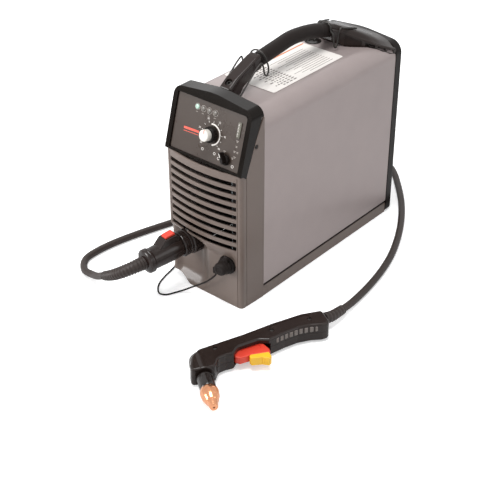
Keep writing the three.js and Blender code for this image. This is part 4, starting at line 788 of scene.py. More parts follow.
# %% [markdown]
# ## Hood and control panel
# A polished black hood frames the sloping panel. It is a deep arch, cut off at the panel's slope, so it is
# drawn as an outline pulled from front to rear, trimmed by side views, and hollowed. Its rim is rounded
# generously, because a polished edge shows as a bright line. The panel leans back, so what sits on it is
# modelled upright at the origin, facing -Y, and then laid on the panel by one matrix.

# %% Hood
HOOD_HALF = 84.5
HOOD_APEX = 376
HOOD_LOW = 242
HOOD_REAR_Y = -167
PANEL_LEAN = math.radians(16.4)
PANEL_HALF = 75
PANEL_HEIGHT = 96
PANEL_FOOT = (0, -221, 266)
panel_frame = at(*PANEL_FOOT) @ Matrix.Rotation(-PANEL_LEAN, 4, "X")


def hood_line(inset):
    half = HOOD_HALF - inset
    return rounded([(half, HOOD_LOW), (half, HOOD_APEX - 9 - inset, 16 - inset), (0, HOOD_APEX - inset, 160),
                    (-half, HOOD_APEX - 9 - inset, 16 - inset), (-half, HOOD_LOW)], 12)


def hood_side(inset):
    """The hood from the side, its face parallel to the panel and inset behind the rim."""
    run = math.tan(PANEL_LEAN)
    face = [(PANEL_FOOT[1] + (z - PANEL_FOOT[2]) * run - 2.5 + inset, z) for z in (HOOD_LOW, HOOD_APEX + 10)]
    return [*face, (HOOD_REAR_Y, HOOD_APEX + 10), (HOOD_REAR_Y, HOOD_LOW)]


hood = plate("hood", hood_line(0), "y", -243, HOOD_REAR_Y)
slab(hood, "slope", hood_side(0), "x", -HOOD_HALF - 1, HOOD_HALF + 1, "INTERSECT")
above_seam = [(-253, 265.3), (-219, 262.3), (-211, 256.3), (-172, 352.3), (-162, 352.3), (-162, 410),
              (-253, 410)]
slab(hood, "above", above_seam, "x", -96, 96, "INTERSECT")
inside = plate("inside", hood_line(MOULD_WALL), "y", -243, -160)
slab(inside, "slope", hood_side(8), "x", MOULD_WALL - HOOD_HALF, HOOD_HALF - MOULD_WALL, "INTERSECT")
carve(hood, inside)
opening = block("opening", (-PANEL_HALF - 0.3, -20, -0.3), (PANEL_HALF + 0.3, 3, PANEL_HEIGHT + 0.3))
carve(hood, moved(opening, panel_frame))
window = block("window", (6 - PANEL_HALF, -20, 4), (PANEL_HALF - 6, 20, PANEL_HEIGHT - 6))
carve(hood, moved(window, panel_frame))
round_edges(hood, 2.4, 5, 38)
hand_over(hood, "panel_hood", angle=32)

# %% Panel plate with its printed film
KNOB_PLACE = (8, 46)
SELECTOR_PLACE = (46, 15)
LAMP_PLACES = [(-31 + 13 * k, 82) for k in range(4)]
GAUGE_PLACE = (62, 70)
panel_line = rounded([(-PANEL_HALF, 0, 3), (PANEL_HALF, 0, 3), (PANEL_HALF, PANEL_HEIGHT, 9),
                      (-PANEL_HALF, PANEL_HEIGHT, 4)], 8)
panel = plate("panel_plate", panel_line, "y", 0.3, 2.7)
for (x, w), radius in [(KNOB_PLACE, 4.3), (SELECTOR_PLACE, 4.3)] + [(place, 4.5) for place in LAMP_PLACES]:
    drill(panel, radius, -10, 10, (x, 0, w), (0, -1, 0), 32)
round_edges(panel, 0.3, 2, 40)
hand_over(moved(panel, panel_frame), "control_panel", angle=30)

# %% Kinds of printed marks
INK_DEPTHS = (0.18, 0.32)


def round_place(centre, radius, degrees):
    angle = math.radians(degrees)
    return (centre[0] + radius * math.cos(angle), centre[1] + radius * math.sin(angle))


def arc_mark(centre, radius, width, start, end, steps=24):
    """A thick line along an arc; angles run anticlockwise from +X, in degrees."""
    angles = [start + (end - start) * k / steps for k in range(steps + 1)]
    line = [round_place(centre, radius - width / 2, angle) for angle in angles]
    line += [round_place(centre, radius + width / 2, angle) for angle in reversed(angles)]
    return plate("mark", line, "y", *INK_DEPTHS)


def bar_mark(x, w, across, up, degrees=0):
    """A rectangle turned about its middle."""
    c, s = math.cos(math.radians(degrees)), math.sin(math.radians(degrees))
    corners = [(-across / 2, -up / 2), (across / 2, -up / 2), (across / 2, up / 2), (-across / 2, up / 2)]
    return plate("mark", [(x + a * c - b * s, w + a * s + b * c) for a, b in corners], "y", *INK_DEPTHS)


def digits(text, x, w, height):
    """Numbers of a dial, made a mesh, facing -Y."""
    bpy.ops.object.text_add(location=(0, 0, 0))
    words = bpy.context.object
    words.data.body = text
    words.data.size = height * MM
    words.data.align_x = "CENTER"
    words.data.align_y = "CENTER"
    words.data.extrude = 0.06 * MM
    bpy.ops.object.convert(target="MESH")
    words = bpy.context.object
    edit(words, lambda: bpy.ops.mesh.remove_doubles(threshold=0.001 * MM))
    return moved(words, at(x, 0.25, w) @ turn(90, "X"))


# %% Marks printed on the panel
TICKS = 11
white_marks = [arc_mark(KNOB_PLACE, 17.2, 2.4, -78, 104)]
for k in range(TICKS):
    degrees = 225 - 270 * k / (TICKS - 1)
    white_marks.append(bar_mark(*round_place(KNOB_PLACE, 21.5, degrees), 2.6, 0.6, degrees))
for k, number in enumerate(("20", "25", "30", "35", "40", "45")):
    angle = math.radians(225 - 270 * k / 5)
    x, w = KNOB_PLACE[0] + 27.5 * math.cos(angle), KNOB_PLACE[1] + 26.5 * math.sin(angle)
    white_marks.append(digits(number, x, w, 4.6))
for x, w, radius in [(30, 12, 2.2), (61, 8, 2.2), (20, 17, 2.0), (-6, 17, 2.0)]:
    white_marks.append(arc_mark((x, w), radius, 0.7, 0, 360, 20))
pale_marks = []
for x, w in LAMP_PLACES:
    pale_marks += [arc_mark((x, w), 5.2, 0.5, 0, 360, 32), bar_mark(x, w - 8.5, 4, 0.7)]
for k, (x, w) in enumerate([(62, 52), (62, 43), (60, 34), (66, 34), (62, 25), (34, 22), (40, 28), (58, 22)]):
    pale_marks += [bar_mark(x, w, 4.5 - k % 2, 0.8), bar_mark(x, w - 1.8, 3.2, 0.7)]
red_marks = [bar_mark(-36, 41, 33, 3.8, 2), bar_mark(-36, 35.6, 33, 0.8, 2)]
for name, made, finish in (("panel_marks", white_marks, "white_print"),
                           ("panel_pale_marks", pale_marks, "pale_print"),
                           ("panel_stripe", red_marks, "red_print")):
    hand_over(moved(merged_pieces(name, made), panel_frame), finish=finish)

# %% [markdown]
# ## Controls on the panel
# The current knob is pressed on a shaft: a dark fluted skirt with a pale flat cap. The lamps are small
# lenses with a bezel ring, and the pressure window is a slot of smoked plastic with graduations behind it.
# Turned shapes are a profile that Spin carries round an axis, and flutes are cut by copies of one small
# cylinder.

# %% Current knob
def flute(piece, count, radius, cutter_radius, low, high):
    """Cuts upright flutes round a turned piece that stands on the origin, facing +Z."""
    profile = [(0, low), (cutter_radius, low), (cutter_radius, high), (0, high)]
    places = [round_place((0, 0), radius, 360 * (k + 0.5) / count) for k in range(count)]
    flutes = [turned("flute", profile, (*place, 0), steps=12) for place in places]
    carve(piece, merged_pieces("flutes", flutes))


def facing_out(piece, place):
    """Turns a piece from +Z to -Y and sets it on the panel at (x, w)."""
    return moved(piece, panel_frame @ at(place[0], 0, place[1]) @ turn(90, "X"))


skirt = turned("knob_skirt", [(0, -16), (4, -16), (4, 1), (13.4, 1), (13.8, 1.6), (13.1, 8.2), (12.2, 9.6),
                              (11, 10.6), (10, 10.9), (9.7, 11.6), (0, 11.6)], steps=96)
flute(skirt, 18, 14.2, 1.3, 0.5, 20)
round_edges(skirt, 0.25, 2, 40)
hand_over(facing_out(skirt, KNOB_PLACE), "current_knob", "black_moulding", angle=30)
knob_cap = turned("knob_cap", [(0, 11), (9.0, 11), (9.8, 12), (9.9, 19.4), (9.6, 20.6), (8.7, 21.3),
                               (7.2, 21.5), (6.8, 21.2), (0, 21.1)], steps=96)
carve(knob_cap, block("pointer", (-0.7, 3, 20.4), (0.7, 11, 23)))
hand_over(facing_out(knob_cap, KNOB_PLACE), finish="pale_knob", body="current_knob", angle=30)
pointer = block("knob_pointer", (-0.6, 3.2, 20.3), (0.6, 9.8, 20.7))
hand_over(facing_out(pointer, KNOB_PLACE), finish="red_print", body="current_knob")

# %% Selector
hub = turned("selector_hub", [(0, -16), (4, -16), (4, 1), (8.8, 1), (9, 1.5), (8.2, 5), (7.6, 6), (0, 6.1)])
lever_line = rounded([(-2.5, -10, 2.2), (2.5, -10, 2.2), (2.5, 10, 2.4), (-2.5, 10, 2.4)])
lever = plate("selector_lever", lever_line, "z", 2.5, 13.4)
round_edges(lever, 0.8, 3, 50)
selector_line = plate("selector_line", [(-0.5, 1), (0.5, 1), (0.5, 8.5), (-0.5, 8.5)], "z", 13.35, 13.5)
for piece in (lever, selector_line):
    moved(piece, at(-2, 3, 0) @ turn(35, "Z"))
for piece in (hub, lever, selector_line):
    facing_out(piece, SELECTOR_PLACE)
hand_over(merged_pieces("selector", [hub, lever]), "mode_selector", angle=30)
hand_over(selector_line, finish="white_print", body="mode_selector")

# %% Lamps and pressure window
# The first lens is lit: its glow is painted into its pale green colour, and it sheds no light.
for k, place in enumerate(LAMP_PLACES):
    lens = turned(f"lamp_{k + 1}", [(0, -5), (4.2, -5), (4.2, 0.4), (3.9, 0.9), (3.2, 1.15), (2.2, 1.35),
                                    (0, 1.5)], steps=48)
    hand_over(facing_out(lens, place), f"indicator_lens_{k + 1}", "lamp_lens" if k else "lit_lens", angle=60)
gauge_frame = panel_frame @ at(GAUGE_PLACE[0], 0, GAUGE_PLACE[1])
window_line = rounded([(-3.5, -13, 1.2), (3.5, -13, 1.2), (3.5, 13, 1.2), (-3.5, 13, 1.2)], 5)
window = plate("pressure_glass", window_line, "y", -1.3, -0.3)
round_edges(window, 0.25, 2, 40)
hand_over(moved(window, gauge_frame), "pressure_window", angle=30)
graduations = []
for k in range(9):
    low, end = -10.2 + 2.5 * k, -0.4 + k % 2
    line = [(-2.8, low), (end, low), (end, low + 0.6), (-2.8, low + 0.6)]
    graduations.append(plate("mark", line, "y", -1.42, -1.28))
hand_over(moved(merged_pieces("pressure_marks", graduations), gauge_frame), finish="white_print")

# %% [markdown]
# ## Handle
# A rubber grip arches over the cover between two moulded legs. The front leg is a plate with well rounded
# edges and a sunk screw. The rear leg is a loft: its section grows from the grip's round end to the full
# width of the cover, and pockets between thin webs lighten its sides. Wire clips for a strap go round both
# ends of the grip. Heights on the handle are counted from the cover's top.

# %% Grip
LEG_FRONT_Y = -166.4
NECK_Y = -84
TAIL_Y = 107
GRIP_RADIUS = 13
grip_knots = [(0, 39), (0.13, 42.3), (0.28, 45.8), (0.455, 49.5), (0.6, 48), (0.785, 42.5), (1, 32)]
grip_points = [(0, NECK_Y + (TAIL_Y - NECK_Y) * share, z + COVER_TOP) for share, z in grip_knots]
grip_line = smooth_line(metres(grip_points), 14)


def to_mesh(piece):
    """Turns a curve into a mesh and merges its caps with its skin."""
    only(piece)
    bpy.ops.object.convert(target="MESH")
    edit(bpy.context.object, merge_points)
    return bpy.context.object


grip_radii = []
for k in range(len(grip_line)):
    from_end = min(k, len(grip_line) - 1 - k)
    grip_radii.append({0: 0.93, 1: 0.985}.get(from_end, 1 if from_end > 8 or from_end % 4 else 0.955))
grip = to_mesh(curve_through("grip", grip_line, GRIP_RADIUS * MM, 14, grip_radii))
hand_over(grip, "handle_grip", angle=50)

# %% Front leg and its screw
def neck_at(end, along, away, z):
    """Y of a leg's neck at a height, square to the grip's line."""
    return end.y + away / along.y - (z - end.z) * along.z / along.y


grip_start = grip_line[0] / MM - Vector((0, 0, COVER_TOP))
start_along = (grip_line[1] - grip_line[0]).normalized()
neck_line = [(neck_at(grip_start, start_along, -0.3, z), z) for z in (54, 27.5)]
leg_side = rounded([(LEG_FRONT_Y, 0.3), (LEG_FRONT_Y, 19, 6), (LEG_FRONT_Y + 18.4, 31, 12),
                    (NECK_Y - 14, 51, 20), *neck_line, (NECK_Y - 17, 25, 8), (LEG_FRONT_Y + 36.4, 10, 8),
                    (LEG_FRONT_Y + 28.4, 0.3)], 10)
leg = plate("front_leg", [(y, z + COVER_TOP) for y, z in leg_side], "x", -12, 12)
round_edges(leg, 4.2, 6, 60)
SCREW_PLACE = (0, LEG_FRONT_Y + 12.4, 22 + COVER_TOP)
SCREW_AXIS = (0, -0.5, 0.866)
recess = [(0, -4), (5.6, -4), (6.2, 1), (7.4, 20), (0, 20)]
carve(leg, turned("recess", recess, SCREW_PLACE, SCREW_AXIS, 40))
round_edges(leg, 0.5, 2, 55)
hand_over(leg, "handle_front_leg", "satin_black")
screw_line = [(0, -3.7), (4.8, -3.7), (5, -3.4), (5, 0.9), (4.6, 1.6), (3.9, 1.9), (0, 2)]
handle_screw = turned("handle_screw", screw_line, steps=48)
drill(handle_screw, 2.9, -1.2, 5, steps=6)
round_edges(handle_screw, 0.2, 2, 40)
moved(handle_screw, at(*SCREW_PLACE) @ towards(SCREW_AXIS))
hand_over(handle_screw, "handle_screw_front", "dark_zinc", angle=30)

# %% Sections of the rear leg
TAIL_EDGE = 5
CROWN_POWER = 4
CROWN_STEPS = 20
TAIL_FOOT = 5 - COVER_RADIUS
grip_end = grip_line[-1] / MM - Vector((0, 0, COVER_TOP))
end_along = (grip_line[-1] - grip_line[-2]).normalized()
# Each section: distance to the rear, half width, height of its edge, height of its crown, and its foot.
tail_sections = [(TAIL_Y, 13.5, 36, 45, 17), (TAIL_Y + 15, 17, 31, 40, 9), (TAIL_Y + 26, 35, 25, 35, -5),
                 (TAIL_Y + 38, 51, 17.5, 31, TAIL_FOOT), (TAIL_Y + 51, 66, 11, 25, TAIL_FOOT),
                 (TAIL_Y + 65, 77, 3, 19, TAIL_FOOT), (TAIL_Y + 81, 83, -4, 11, TAIL_FOOT),
                 (COVER_Y[1], 85, -11, 6, TAIL_FOOT)]


def tail_top(x, y):
    """Height of the leg's crowned top at a place."""
    half, edge, crown, _ = between(tail_sections, y)
    return edge + (crown - edge) * (1 - (x / (half - TAIL_EDGE)) ** CROWN_POWER)


def tail_ring(y):
    half, edge, _, low = between(tail_sections, y)
    flank = half - TAIL_EDGE
    ring = [(half, low), (half, edge - TAIL_EDGE)]
    ring += [(flank + TAIL_EDGE * math.cos(a), edge - TAIL_EDGE + TAIL_EDGE * math.sin(a))
             for a in (0.4, 0.8, 1.2)]
    across = [flank - 2 * flank * k / CROWN_STEPS for k in range(CROWN_STEPS + 1)]
    whole = ring + [(x, tail_top(x, y)) for x in across] + [(-x, z) for x, z in reversed(ring)]
    return [(x, y, z + COVER_TOP) for x, z in whole]


tail_places = [a[0] + (b[0] - a[0]) * t / 3 for a, b in zip(tail_sections, tail_sections[1:])
               for t in range(3)]
tail_rings = [tail_ring(y) for y in (*tail_places, COVER_Y[1])]
tail_rings[0] = [(x, neck_at(grip_end, end_along, 0.3, z - COVER_TOP), z) for x, _, z in tail_rings[0]]
print("rear leg:", len(tail_rings), "sections of", len(tail_rings[0]), "points")

# %% Rear leg
# Faces run between neighbouring sections, across the underside, and over each end.
size = len(tail_rings[0])
points = metres(sum(tail_rings, []))
bands = [(a, a + 1, a + 1 + size, a + size) for r in range(0, len(points) - size, size)
         for a in range(r, r + size - 1)]
under = [(a, a + size - 1, a + 2 * size - 1, a + size) for a in range(0, len(points) - size, size)]
ends = [tuple(range(size)), tuple(reversed(range(len(points) - size, len(points))))]
bpy.ops.mesh.primitive_plane_add(size=1)
rear_leg = bpy.context.object
rear_leg.name = "rear_leg"
rear_leg.data.clear_geometry()
rear_leg.data.from_pydata(points, [], bands + under + ends)
edit(rear_leg, face_outwards)
cover_space = [(x * (COVER_HALF + 0.3) / COVER_HALF, z + 0.3) for x, z in cover_line]
slab(rear_leg, "cover_space", cover_space, "y", 60, 230)

# %% Pockets in the rear leg
POCKET_LIP = 5.6
POCKET_RIM = 1.6
POCKETS = [(127, 145, 2.5), (149, 161.5, 7), (165, 178.5, 7), (182, 198, 6)]


def cover_drop(x):
    """How far the cover's rounded edge has fallen at a distance from the middle."""
    past = max(0, x - COVER_HALF + COVER_RADIUS)
    return COVER_RADIUS - math.sqrt(COVER_RADIUS**2 - past**2)


def side_pocket(side, y0, y1, depth):
    """A slanting block between the leg's edge and a thin rim on the cover."""
    (half0, edge0, _, _), (half1, edge1, _, _) = between(tail_sections, y0), between(tail_sections, y1)
    run = Vector((half1 - half0, y1 - y0)).normalized()
    inward = Vector((-run.y, run.x))
    pocket = block("pocket", (-1, -1, -1), (1, 1, 1))
    for vertex in pocket.data.vertices:
        outer, rear_end, upper = (c > 0 for c in vertex.co)
        half, y, edge = (half1, y1, edge1) if rear_end else (half0, y0, edge0)
        place = Vector((half, y)) + inward * (-4 if outer else depth)
        height = edge - POCKET_LIP if upper else POCKET_RIM - cover_drop(half)
        vertex.co = Vector((side * place.x, place.y, COVER_TOP + height)) * MM
    edit(pocket, face_outwards)
    return pocket


pockets = [side_pocket(side, *pocket) for pocket in POCKETS for side in (-1, 1)]
carve(rear_leg, merged_pieces("pockets", pockets))
hand_over(rear_leg, "handle_rear_leg", "satin_black", angle=38)

# %% Wire clips
WIRE_RADIUS = 1.5
WIRE_LIFT = 0.9


def point_at(line, share):
    """Point and direction at a share of a line's length."""
    target = share * length_of(line)
    for p, q in zip(line, line[1:]):
        step = (q - p).length
        if target <= step:
            return p + (q - p) * target / step, (q - p).normalized()
        target -= step
    return line[-1], (line[-1] - line[-2]).normalized()


def wire_clip(name, node, share, stand_off, from_y, feet):
    """An arch over the grip with a leg down each side; feet are points of its +X side."""
    centre, along = point_at(grip_line, share)
    out = Vector((1, 0, 0))
    radius = (GRIP_RADIUS + WIRE_RADIUS + stand_off) * MM
    arch = [math.radians(a) for a in (0, 30, 60, 85)]
    half = [centre + out.cross(along) * radius * math.cos(a) + out * radius * math.sin(a) for a in arch]
    half += metres([(x, y + from_y, z + COVER_TOP) for x, y, z in feet])
    whole = [Vector((-p.x, p.y, p.z)) for p in reversed(half[1:])] + half
    wire = to_mesh(curve_through(name, smooth_line(whole, 10), WIRE_RADIUS * MM, 5))
    hand_over(wire, node, "dark_zinc", angle=60)


def on_tail(x, y):
    return (x, y, tail_top(x, TAIL_Y + y) + WIRE_RADIUS + WIRE_LIFT)


wire_clip("front_wire", "strap_wire_front", 0.02, 3.2, NECK_Y,
          [(20.5, 4, 35), (22, 3.5, 26), (22.5, -1.5, 18.5), (22.6, -7.5, 24), (22.4, -10.5, 37),
           (22, -14, 44.5), (21.6, -21, 42.5), (21.2, -43, 25.5), (20.9, -70, WIRE_RADIUS)])
wire_clip("rear_wire", "strap_wire_rear", 0.955, 0.6, TAIL_Y,
          [(20.5, -8, 31), (22.8, -8, 17), (23.4, -6, 7), (24, -1.5, 6), (24, 1.5, 15), (23.8, 4, 31),
           (24.3, 9, 38), (25.5, 20, 35.5), on_tail(28, 34), on_tail(31, 48)])

# %% [markdown]
# ## Plug of the torch lead
# The torch plugs into a round receptacle in the scoop. Behind a ribbed locking ring sits a barrel with a
# hump that guards the red release button, then a collar and a ribbed rubber boot. Everything round is
# turned; it is drawn standing on the origin, and one matrix lays it along the plug's axis, which looks down
# and to the left.

# %% Receptacle, locking ring and barrel
plug_lay = plug_frame @ turn(90, "X")
receptacle = turned("receptacle", [(0, -18), (22, -18), (22, -10), (25, -10), (25, 12), (24.5, 13.4),
                                   (23.2, 14.4), (22.6, 15), (22.4, 18.6), (21.4, 19.8), (0, 20)], steps=96)
flute(receptacle, 16, 25.9, 1.6, -5, 12)
hand_over(moved(receptacle, plug_lay), "torch_receptacle", "satin_black", angle=30)
ring = turned("locking_ring", [(12, 20.3), (21.6, 20.3), (22.6, 21), (23, 22), (23, 24), (21.9, 24.6),
                               (21.9, 25.8), (23, 26.4), (23, 28.4), (21.9, 29), (21.9, 30.2), (23, 30.6),
                               (22.6, 32), (21.4, 33), (12, 33), (12, 20.3)], steps=96)
hand_over(moved(ring, plug_lay), "plug_locking_ring", "satin_black", angle=30)
barrel = turned("plug_barrel", [(0, 20.3), (11.7, 20.3), (11.7, 33.3), (18.6, 33.3), (19.2, 33.9),
                                (19.7, 38), (20.5, 48), (20.3, 60), (19.5, 92), (20.2, 93.6), (21.7, 94.6),
                                (22, 95.4), (22, 98), (21.3, 98.6), (21.3, 100), (22, 100.6), (22, 102.6),
                                (21, 104), (18.4, 105.4), (14, 107), (0, 107)], steps=96)
hump_side = rounded([(12, 34.6), (12, 78), (18, 78, 2), (30, 65, 4), (31, 40, 3), (24, 34.6, 2)])
hump = plate("hump", hump_side, "x", -10.5, 10.5)
round_edges(hump, 1.6, 4, 50)
carve(barrel, hump, "UNION")
carve(barrel, block("button_seat", (-7.3, 15.7, 41.7), (7.3, 40, 62.3)))
hand_over(moved(barrel, plug_lay), "plug_body", "satin_black", angle=32)
button_side = rounded([(19, 42), (19, 62), (33.6, 62, 2.5), (34.8, 42, 2.5)], 8)
button = plate("release_button", button_side, "x", -7, 7)
round_edges(button, 1.3, 4, 50)
hand_over(moved(button, plug_lay), "plug_release_button", angle=32)

# %% Ribbed boots
def ribbed(name, points, start_radius, end_radius, ribs, groove):
    """A moulded boot with round ribs along a line, tapering from one radius to the other."""
    line = smooth_line(metres(points), 40)
    shares = [k / (ribs * 8) for k in range(ribs * 8 + 1)]
    radii = []
    for share in shares:
        dip = groove * max(0, math.sin(math.pi * (share * ribs % 1))) ** 3 if 0 < share < 0.985 else 0
        radii.append((start_radius + (end_radius - start_radius) * share - dip) / start_radius)
    radii[0] *= 0.95
    radii[-1] *= 0.95
    print(name, "is", round(length_of(line) / MM), "mm long")
    line = [point_at(line, share)[0] for share in shares]
    return to_mesh(curve_through(name, line, start_radius * MM, 10, radii))


plug_end = plug_frame @ (Vector((0, -107.3, 0)) * MM) / MM
boot_points = [plug_end, plug_end + plug_axis * 3, (-61.6, -334, 83.5), (-72.5, -346.5, 77),
               (-89, -352.5, 66.5), (-108, -350, 54), (-126.5, -344, 42)]
torch_boot_points = [(225, -122.3, 12.05), (225.8, -138, 14.2), (225.4, -156, 16.4), (222.73, -172.67, 20)]
hand_over(ribbed("plug_boot_ribs", boot_points, 12.5, 8.5, 20, 1.1), "plug_boot", "boot_rubber", angle=60)
hand_over(ribbed("torch_boot_ribs", torch_boot_points, 8.6, 10.5, 6, 0.5), "torch_boot", "boot_rubber",
          angle=60)

# %% [markdown]
# ## Work lead socket and its cap
# The return lead plugs into a bayonet socket low on the right. A soft cap keeps the dirt out: a cup with a
# pull tab, and an ear that the cord is tied to.

# %% Socket and cap
socket_lay = at(*SOCKET) @ turn(90, "X")
socket = turned("work_socket_body", [(0, -16), (12, -16), (13, -14), (13, 0.3), (16.6, 0.3), (17, 0.8),
                                     (17, 3.4), (16.2, 4.6), (15, 5.6), (14, 6), (0, 6)], steps=72)
flute(socket, 12, 17.5, 1.0, 0.6, 10)
hand_over(moved(socket, socket_lay), "work_socket", angle=30)
cap = turned("work_cap", [(0, 6.3), (13.9, 6.3), (14.5, 6.9), (14.5, 9.4), (13.9, 10.2), (12.6, 11),
                          (12.2, 13), (12.5, 14), (12.1, 15), (11.8, 18), (12.1, 19), (11.6, 20.4),
                          (11.3, 22), (10.2, 23.4), (9, 24), (6.5, 24), (5.5, 23.2), (0, 23)], steps=72)
flute(cap, 16, 13.2, 1.0, 14.5, 30)
for name, low, high in (("tab", (1, 8, 8), (9, 24, 13)), ("ear", (-19, -16, 13), (-8, -4, 19))):
    extra = block(name, low, high)
    round_edges(extra, 2.0, 4, 50)
    carve(cap, extra, "UNION")
hand_over(moved(cap, socket_lay), "work_socket_cap", angle=32)

# %% [markdown]
# ## Hand torch
# The handset is two moulded halves that meet at half height, lying on its side. Its outline is pulled up
# through the full thickness, its edges are rounded far more than a box's would be, and the halves are
# parted by a fine gap. The trigger swings in a space under the visor that the top face forms over it. Short
# ribs along the side give the fingers hold. The cup and the copper nozzle are turned.

# %% Torch shells
TORCH_MID_Z = 20
TORCH_HALF = 17
torch_frame = at(223, -172, 0) @ turn(-112, "Z")
HEAD_POINT = (236, 8, TORCH_MID_Z)
HEAD_AXIS = Vector((0.25, 0.967, -0.01)).normalized()
TORCH_SCREWS = [(34, 8), (104, 6), (208, 6)]
shell_line = rounded([(3, -4, 6), (40, -11.5, 30), (95, -11, 60), (150, -7, 60), (232, -5.5, 14),
                      (250, 6, 16), (262, 26, 12), (265.5, 39, 6), (227, 46, 6), (214, 31, 10),
                      (200, 29.5, 14), (187, 31, 4), (173, 19, 14), (135, 18, 14), (119, 27, 5),
                      (88, 22.5, 30), (62, 21, 30), (40, 25, 20), (22, 32, 8), (7, 32.5, 9)], 8)
shells = plate("torch_shells", shell_line, "z", TORCH_MID_Z - TORCH_HALF, TORCH_MID_Z + TORCH_HALF)
round_edges(shells, 6.2, 7, 60)
sleeve = [(0, -16), (11, -14), (17, -6), (18.2, 0), (18.6, 4), (18.6, 33), (18.1, 35), (17, 36), (0, 36)]
carve(shells, turned("sleeve", sleeve, HEAD_POINT, HEAD_AXIS), "UNION")
trigger_space = rounded([(185.8, 60), (185.8, 5.3, 3), (124, 5.3, 6), (117, 26), (117, 60)])
slab(shells, "trigger_space", trigger_space, "z", TORCH_MID_Z - 7.3, TORCH_MID_Z + 8.4)
carve(shells, block("lug_space", (171, -4, 12.7), (185.8, 30, 27.3)))
drill(shells, 9.3, 8, 80, HEAD_POINT, HEAD_AXIS, 48)
for place in TORCH_SCREWS:
    drill(shells, 3.6, -2, 10, (*place, 37), steps=32, mouth=3.9)
step_line = rounded([(30, -5, 6), (100, -5.5, 20), (112, 6, 8), (112, 18, 6), (80, 15.5, 20), (34, 20, 8)], 8)
slab(shells, "panel_step", step_line, "z", 36.2, 40)
for name, low, high in (("lower", -5, 19.8), ("upper", 20.2, 60)):
    half = bpy.data.objects.new("torch_" + name, shells.data.copy())
    bpy.context.scene.collection.objects.link(half)
    carve(half, block("half_space", (-20, -40, low), (300, 80, high)), "INTERSECT")
    modify(half, "WELD", merge_threshold=0.02 * MM)
    hand_over(moved(half, torch_frame), "torch_shell_" + name, "satin_black")
bpy.data.objects.remove(shells)

# %% Finger ribs and screws of the torch
RIB_COUNT = 9
ribs = []
for k in range(RIB_COUNT):
    u = 30 + 9.2 * k
    v = 28.5 - 7.2 * ease((u - 22) / 40) + 2.6 * ease((u - 80) / 30)
    rib = block("finger_rib", (u - 3.3, v - 5, 23), (u + 3.3, v + 1.4, 33))
    round_edges(rib, 1.2, 3, 50)
    ribs.append(rib)
# The ribs' pale grey is a painted highlight along the side of the handset.
hand_over(moved(merged_pieces("finger_ribs", ribs), torch_frame), finish="rib_highlight_rubber", angle=50)
torch_screws = [cross_screw("torch_screw", (*place, 35.2), (0, 0, 1), 3.0) for place in TORCH_SCREWS]
hand_over(moved(merged_pieces("torch_screws", torch_screws), torch_frame), finish="dark_zinc")

# %% Trigger and safety
trigger_line = rounded([(174, -1, 2), (182, -1, 2), (183.5, 30, 3), (178, 36, 4), (158, 37, 20), (127, 45, 3),
                        (124.5, 36, 3), (128, 15, 3), (172, 13, 4)], 8)
trigger = plate("trigger", trigger_line, "z", TORCH_MID_Z - 7, TORCH_MID_Z + 7)
round_edges(trigger, 1.8, 4, 50)
slab(trigger, "hollow", rounded([(134, 19, 3), (168, 18, 3), (172, 27, 4), (134, 30, 3)]), "z", 25.6, 40)
hand_over(moved(trigger, torch_frame), "torch_trigger")
safety_line = rounded([(163, 36.3, 4), (163, 46, 4), (146, 52, 6), (137, 59.5, 2), (131, 56, 2),
                       (130, 44.4, 1.5)], 8)
safety = plate("safety", safety_line, "z", TORCH_MID_Z - 8, TORCH_MID_Z + 8)
round_edges(safety, 1.2, 4, 50)
for k in range(4):
    drill(safety, 0.7, -12, 12, (139.5 + 3.2 * k, 57.6 - 2.9 * k, TORCH_MID_Z), steps=12)
hand_over(moved(safety, torch_frame), "trigger_safety")

# %% Head, cup and nozzle
CUP_END = 69
head_lay = torch_frame @ at(*HEAD_POINT) @ towards(HEAD_AXIS)
head = turned("head_stem", [(0, 9), (8.4, 9), (9, 9.8), (9, 36), (8.4, 36.8), (8.4, 37.6), (9, 38.2),
                            (9, 43.4), (8.4, 44), (0, 44)], steps=56)
hand_over(moved(head, head_lay), "torch_head", angle=30)
cup = turned("cup", [(9.3, 38.5), (12.2, 38.5), (12.9, 39.2), (13.5, 40.5), (13.6, 43), (13.2, 43.6),
                     (13.2, 45.4), (13.6, 46), (13.4, 60), (13.2, 66), (12.8, 68), (12.0, CUP_END),
                     (0, CUP_END), (0, 44.3), (9.3, 44.3), (9.3, 38.5)], steps=96)
flute(cup, 24, 14.2, 0.9, 47, 62)
hand_over(moved(cup, head_lay), "retaining_cap", angle=30)
tip_line = [(0, 0.3), (13.0, 0.3), (13.6, 0.9), (14.4, 3), (15.2, 7), (15.2, 9.4), (14.7, 10), (14.7, 10.8),
            (15.0, 11.4), (14.2, 18), (13.2, 21), (12.9, 21.3), (12.6, 22), (10.6, 28), (9.6, 29.2),
            (8.9, 29.8), (8.6, 31), (8.2, 34), (6.4, 42), (5.8, 42.8), (2, 43), (1.4, 42.6), (1.2, 38),
            (0, 38)]
tip = turned("copper_nozzle", [(r, h + CUP_END) for r, h in tip_line], steps=96)
hand_over(moved(tip, head_lay), "nozzle", angle=24)
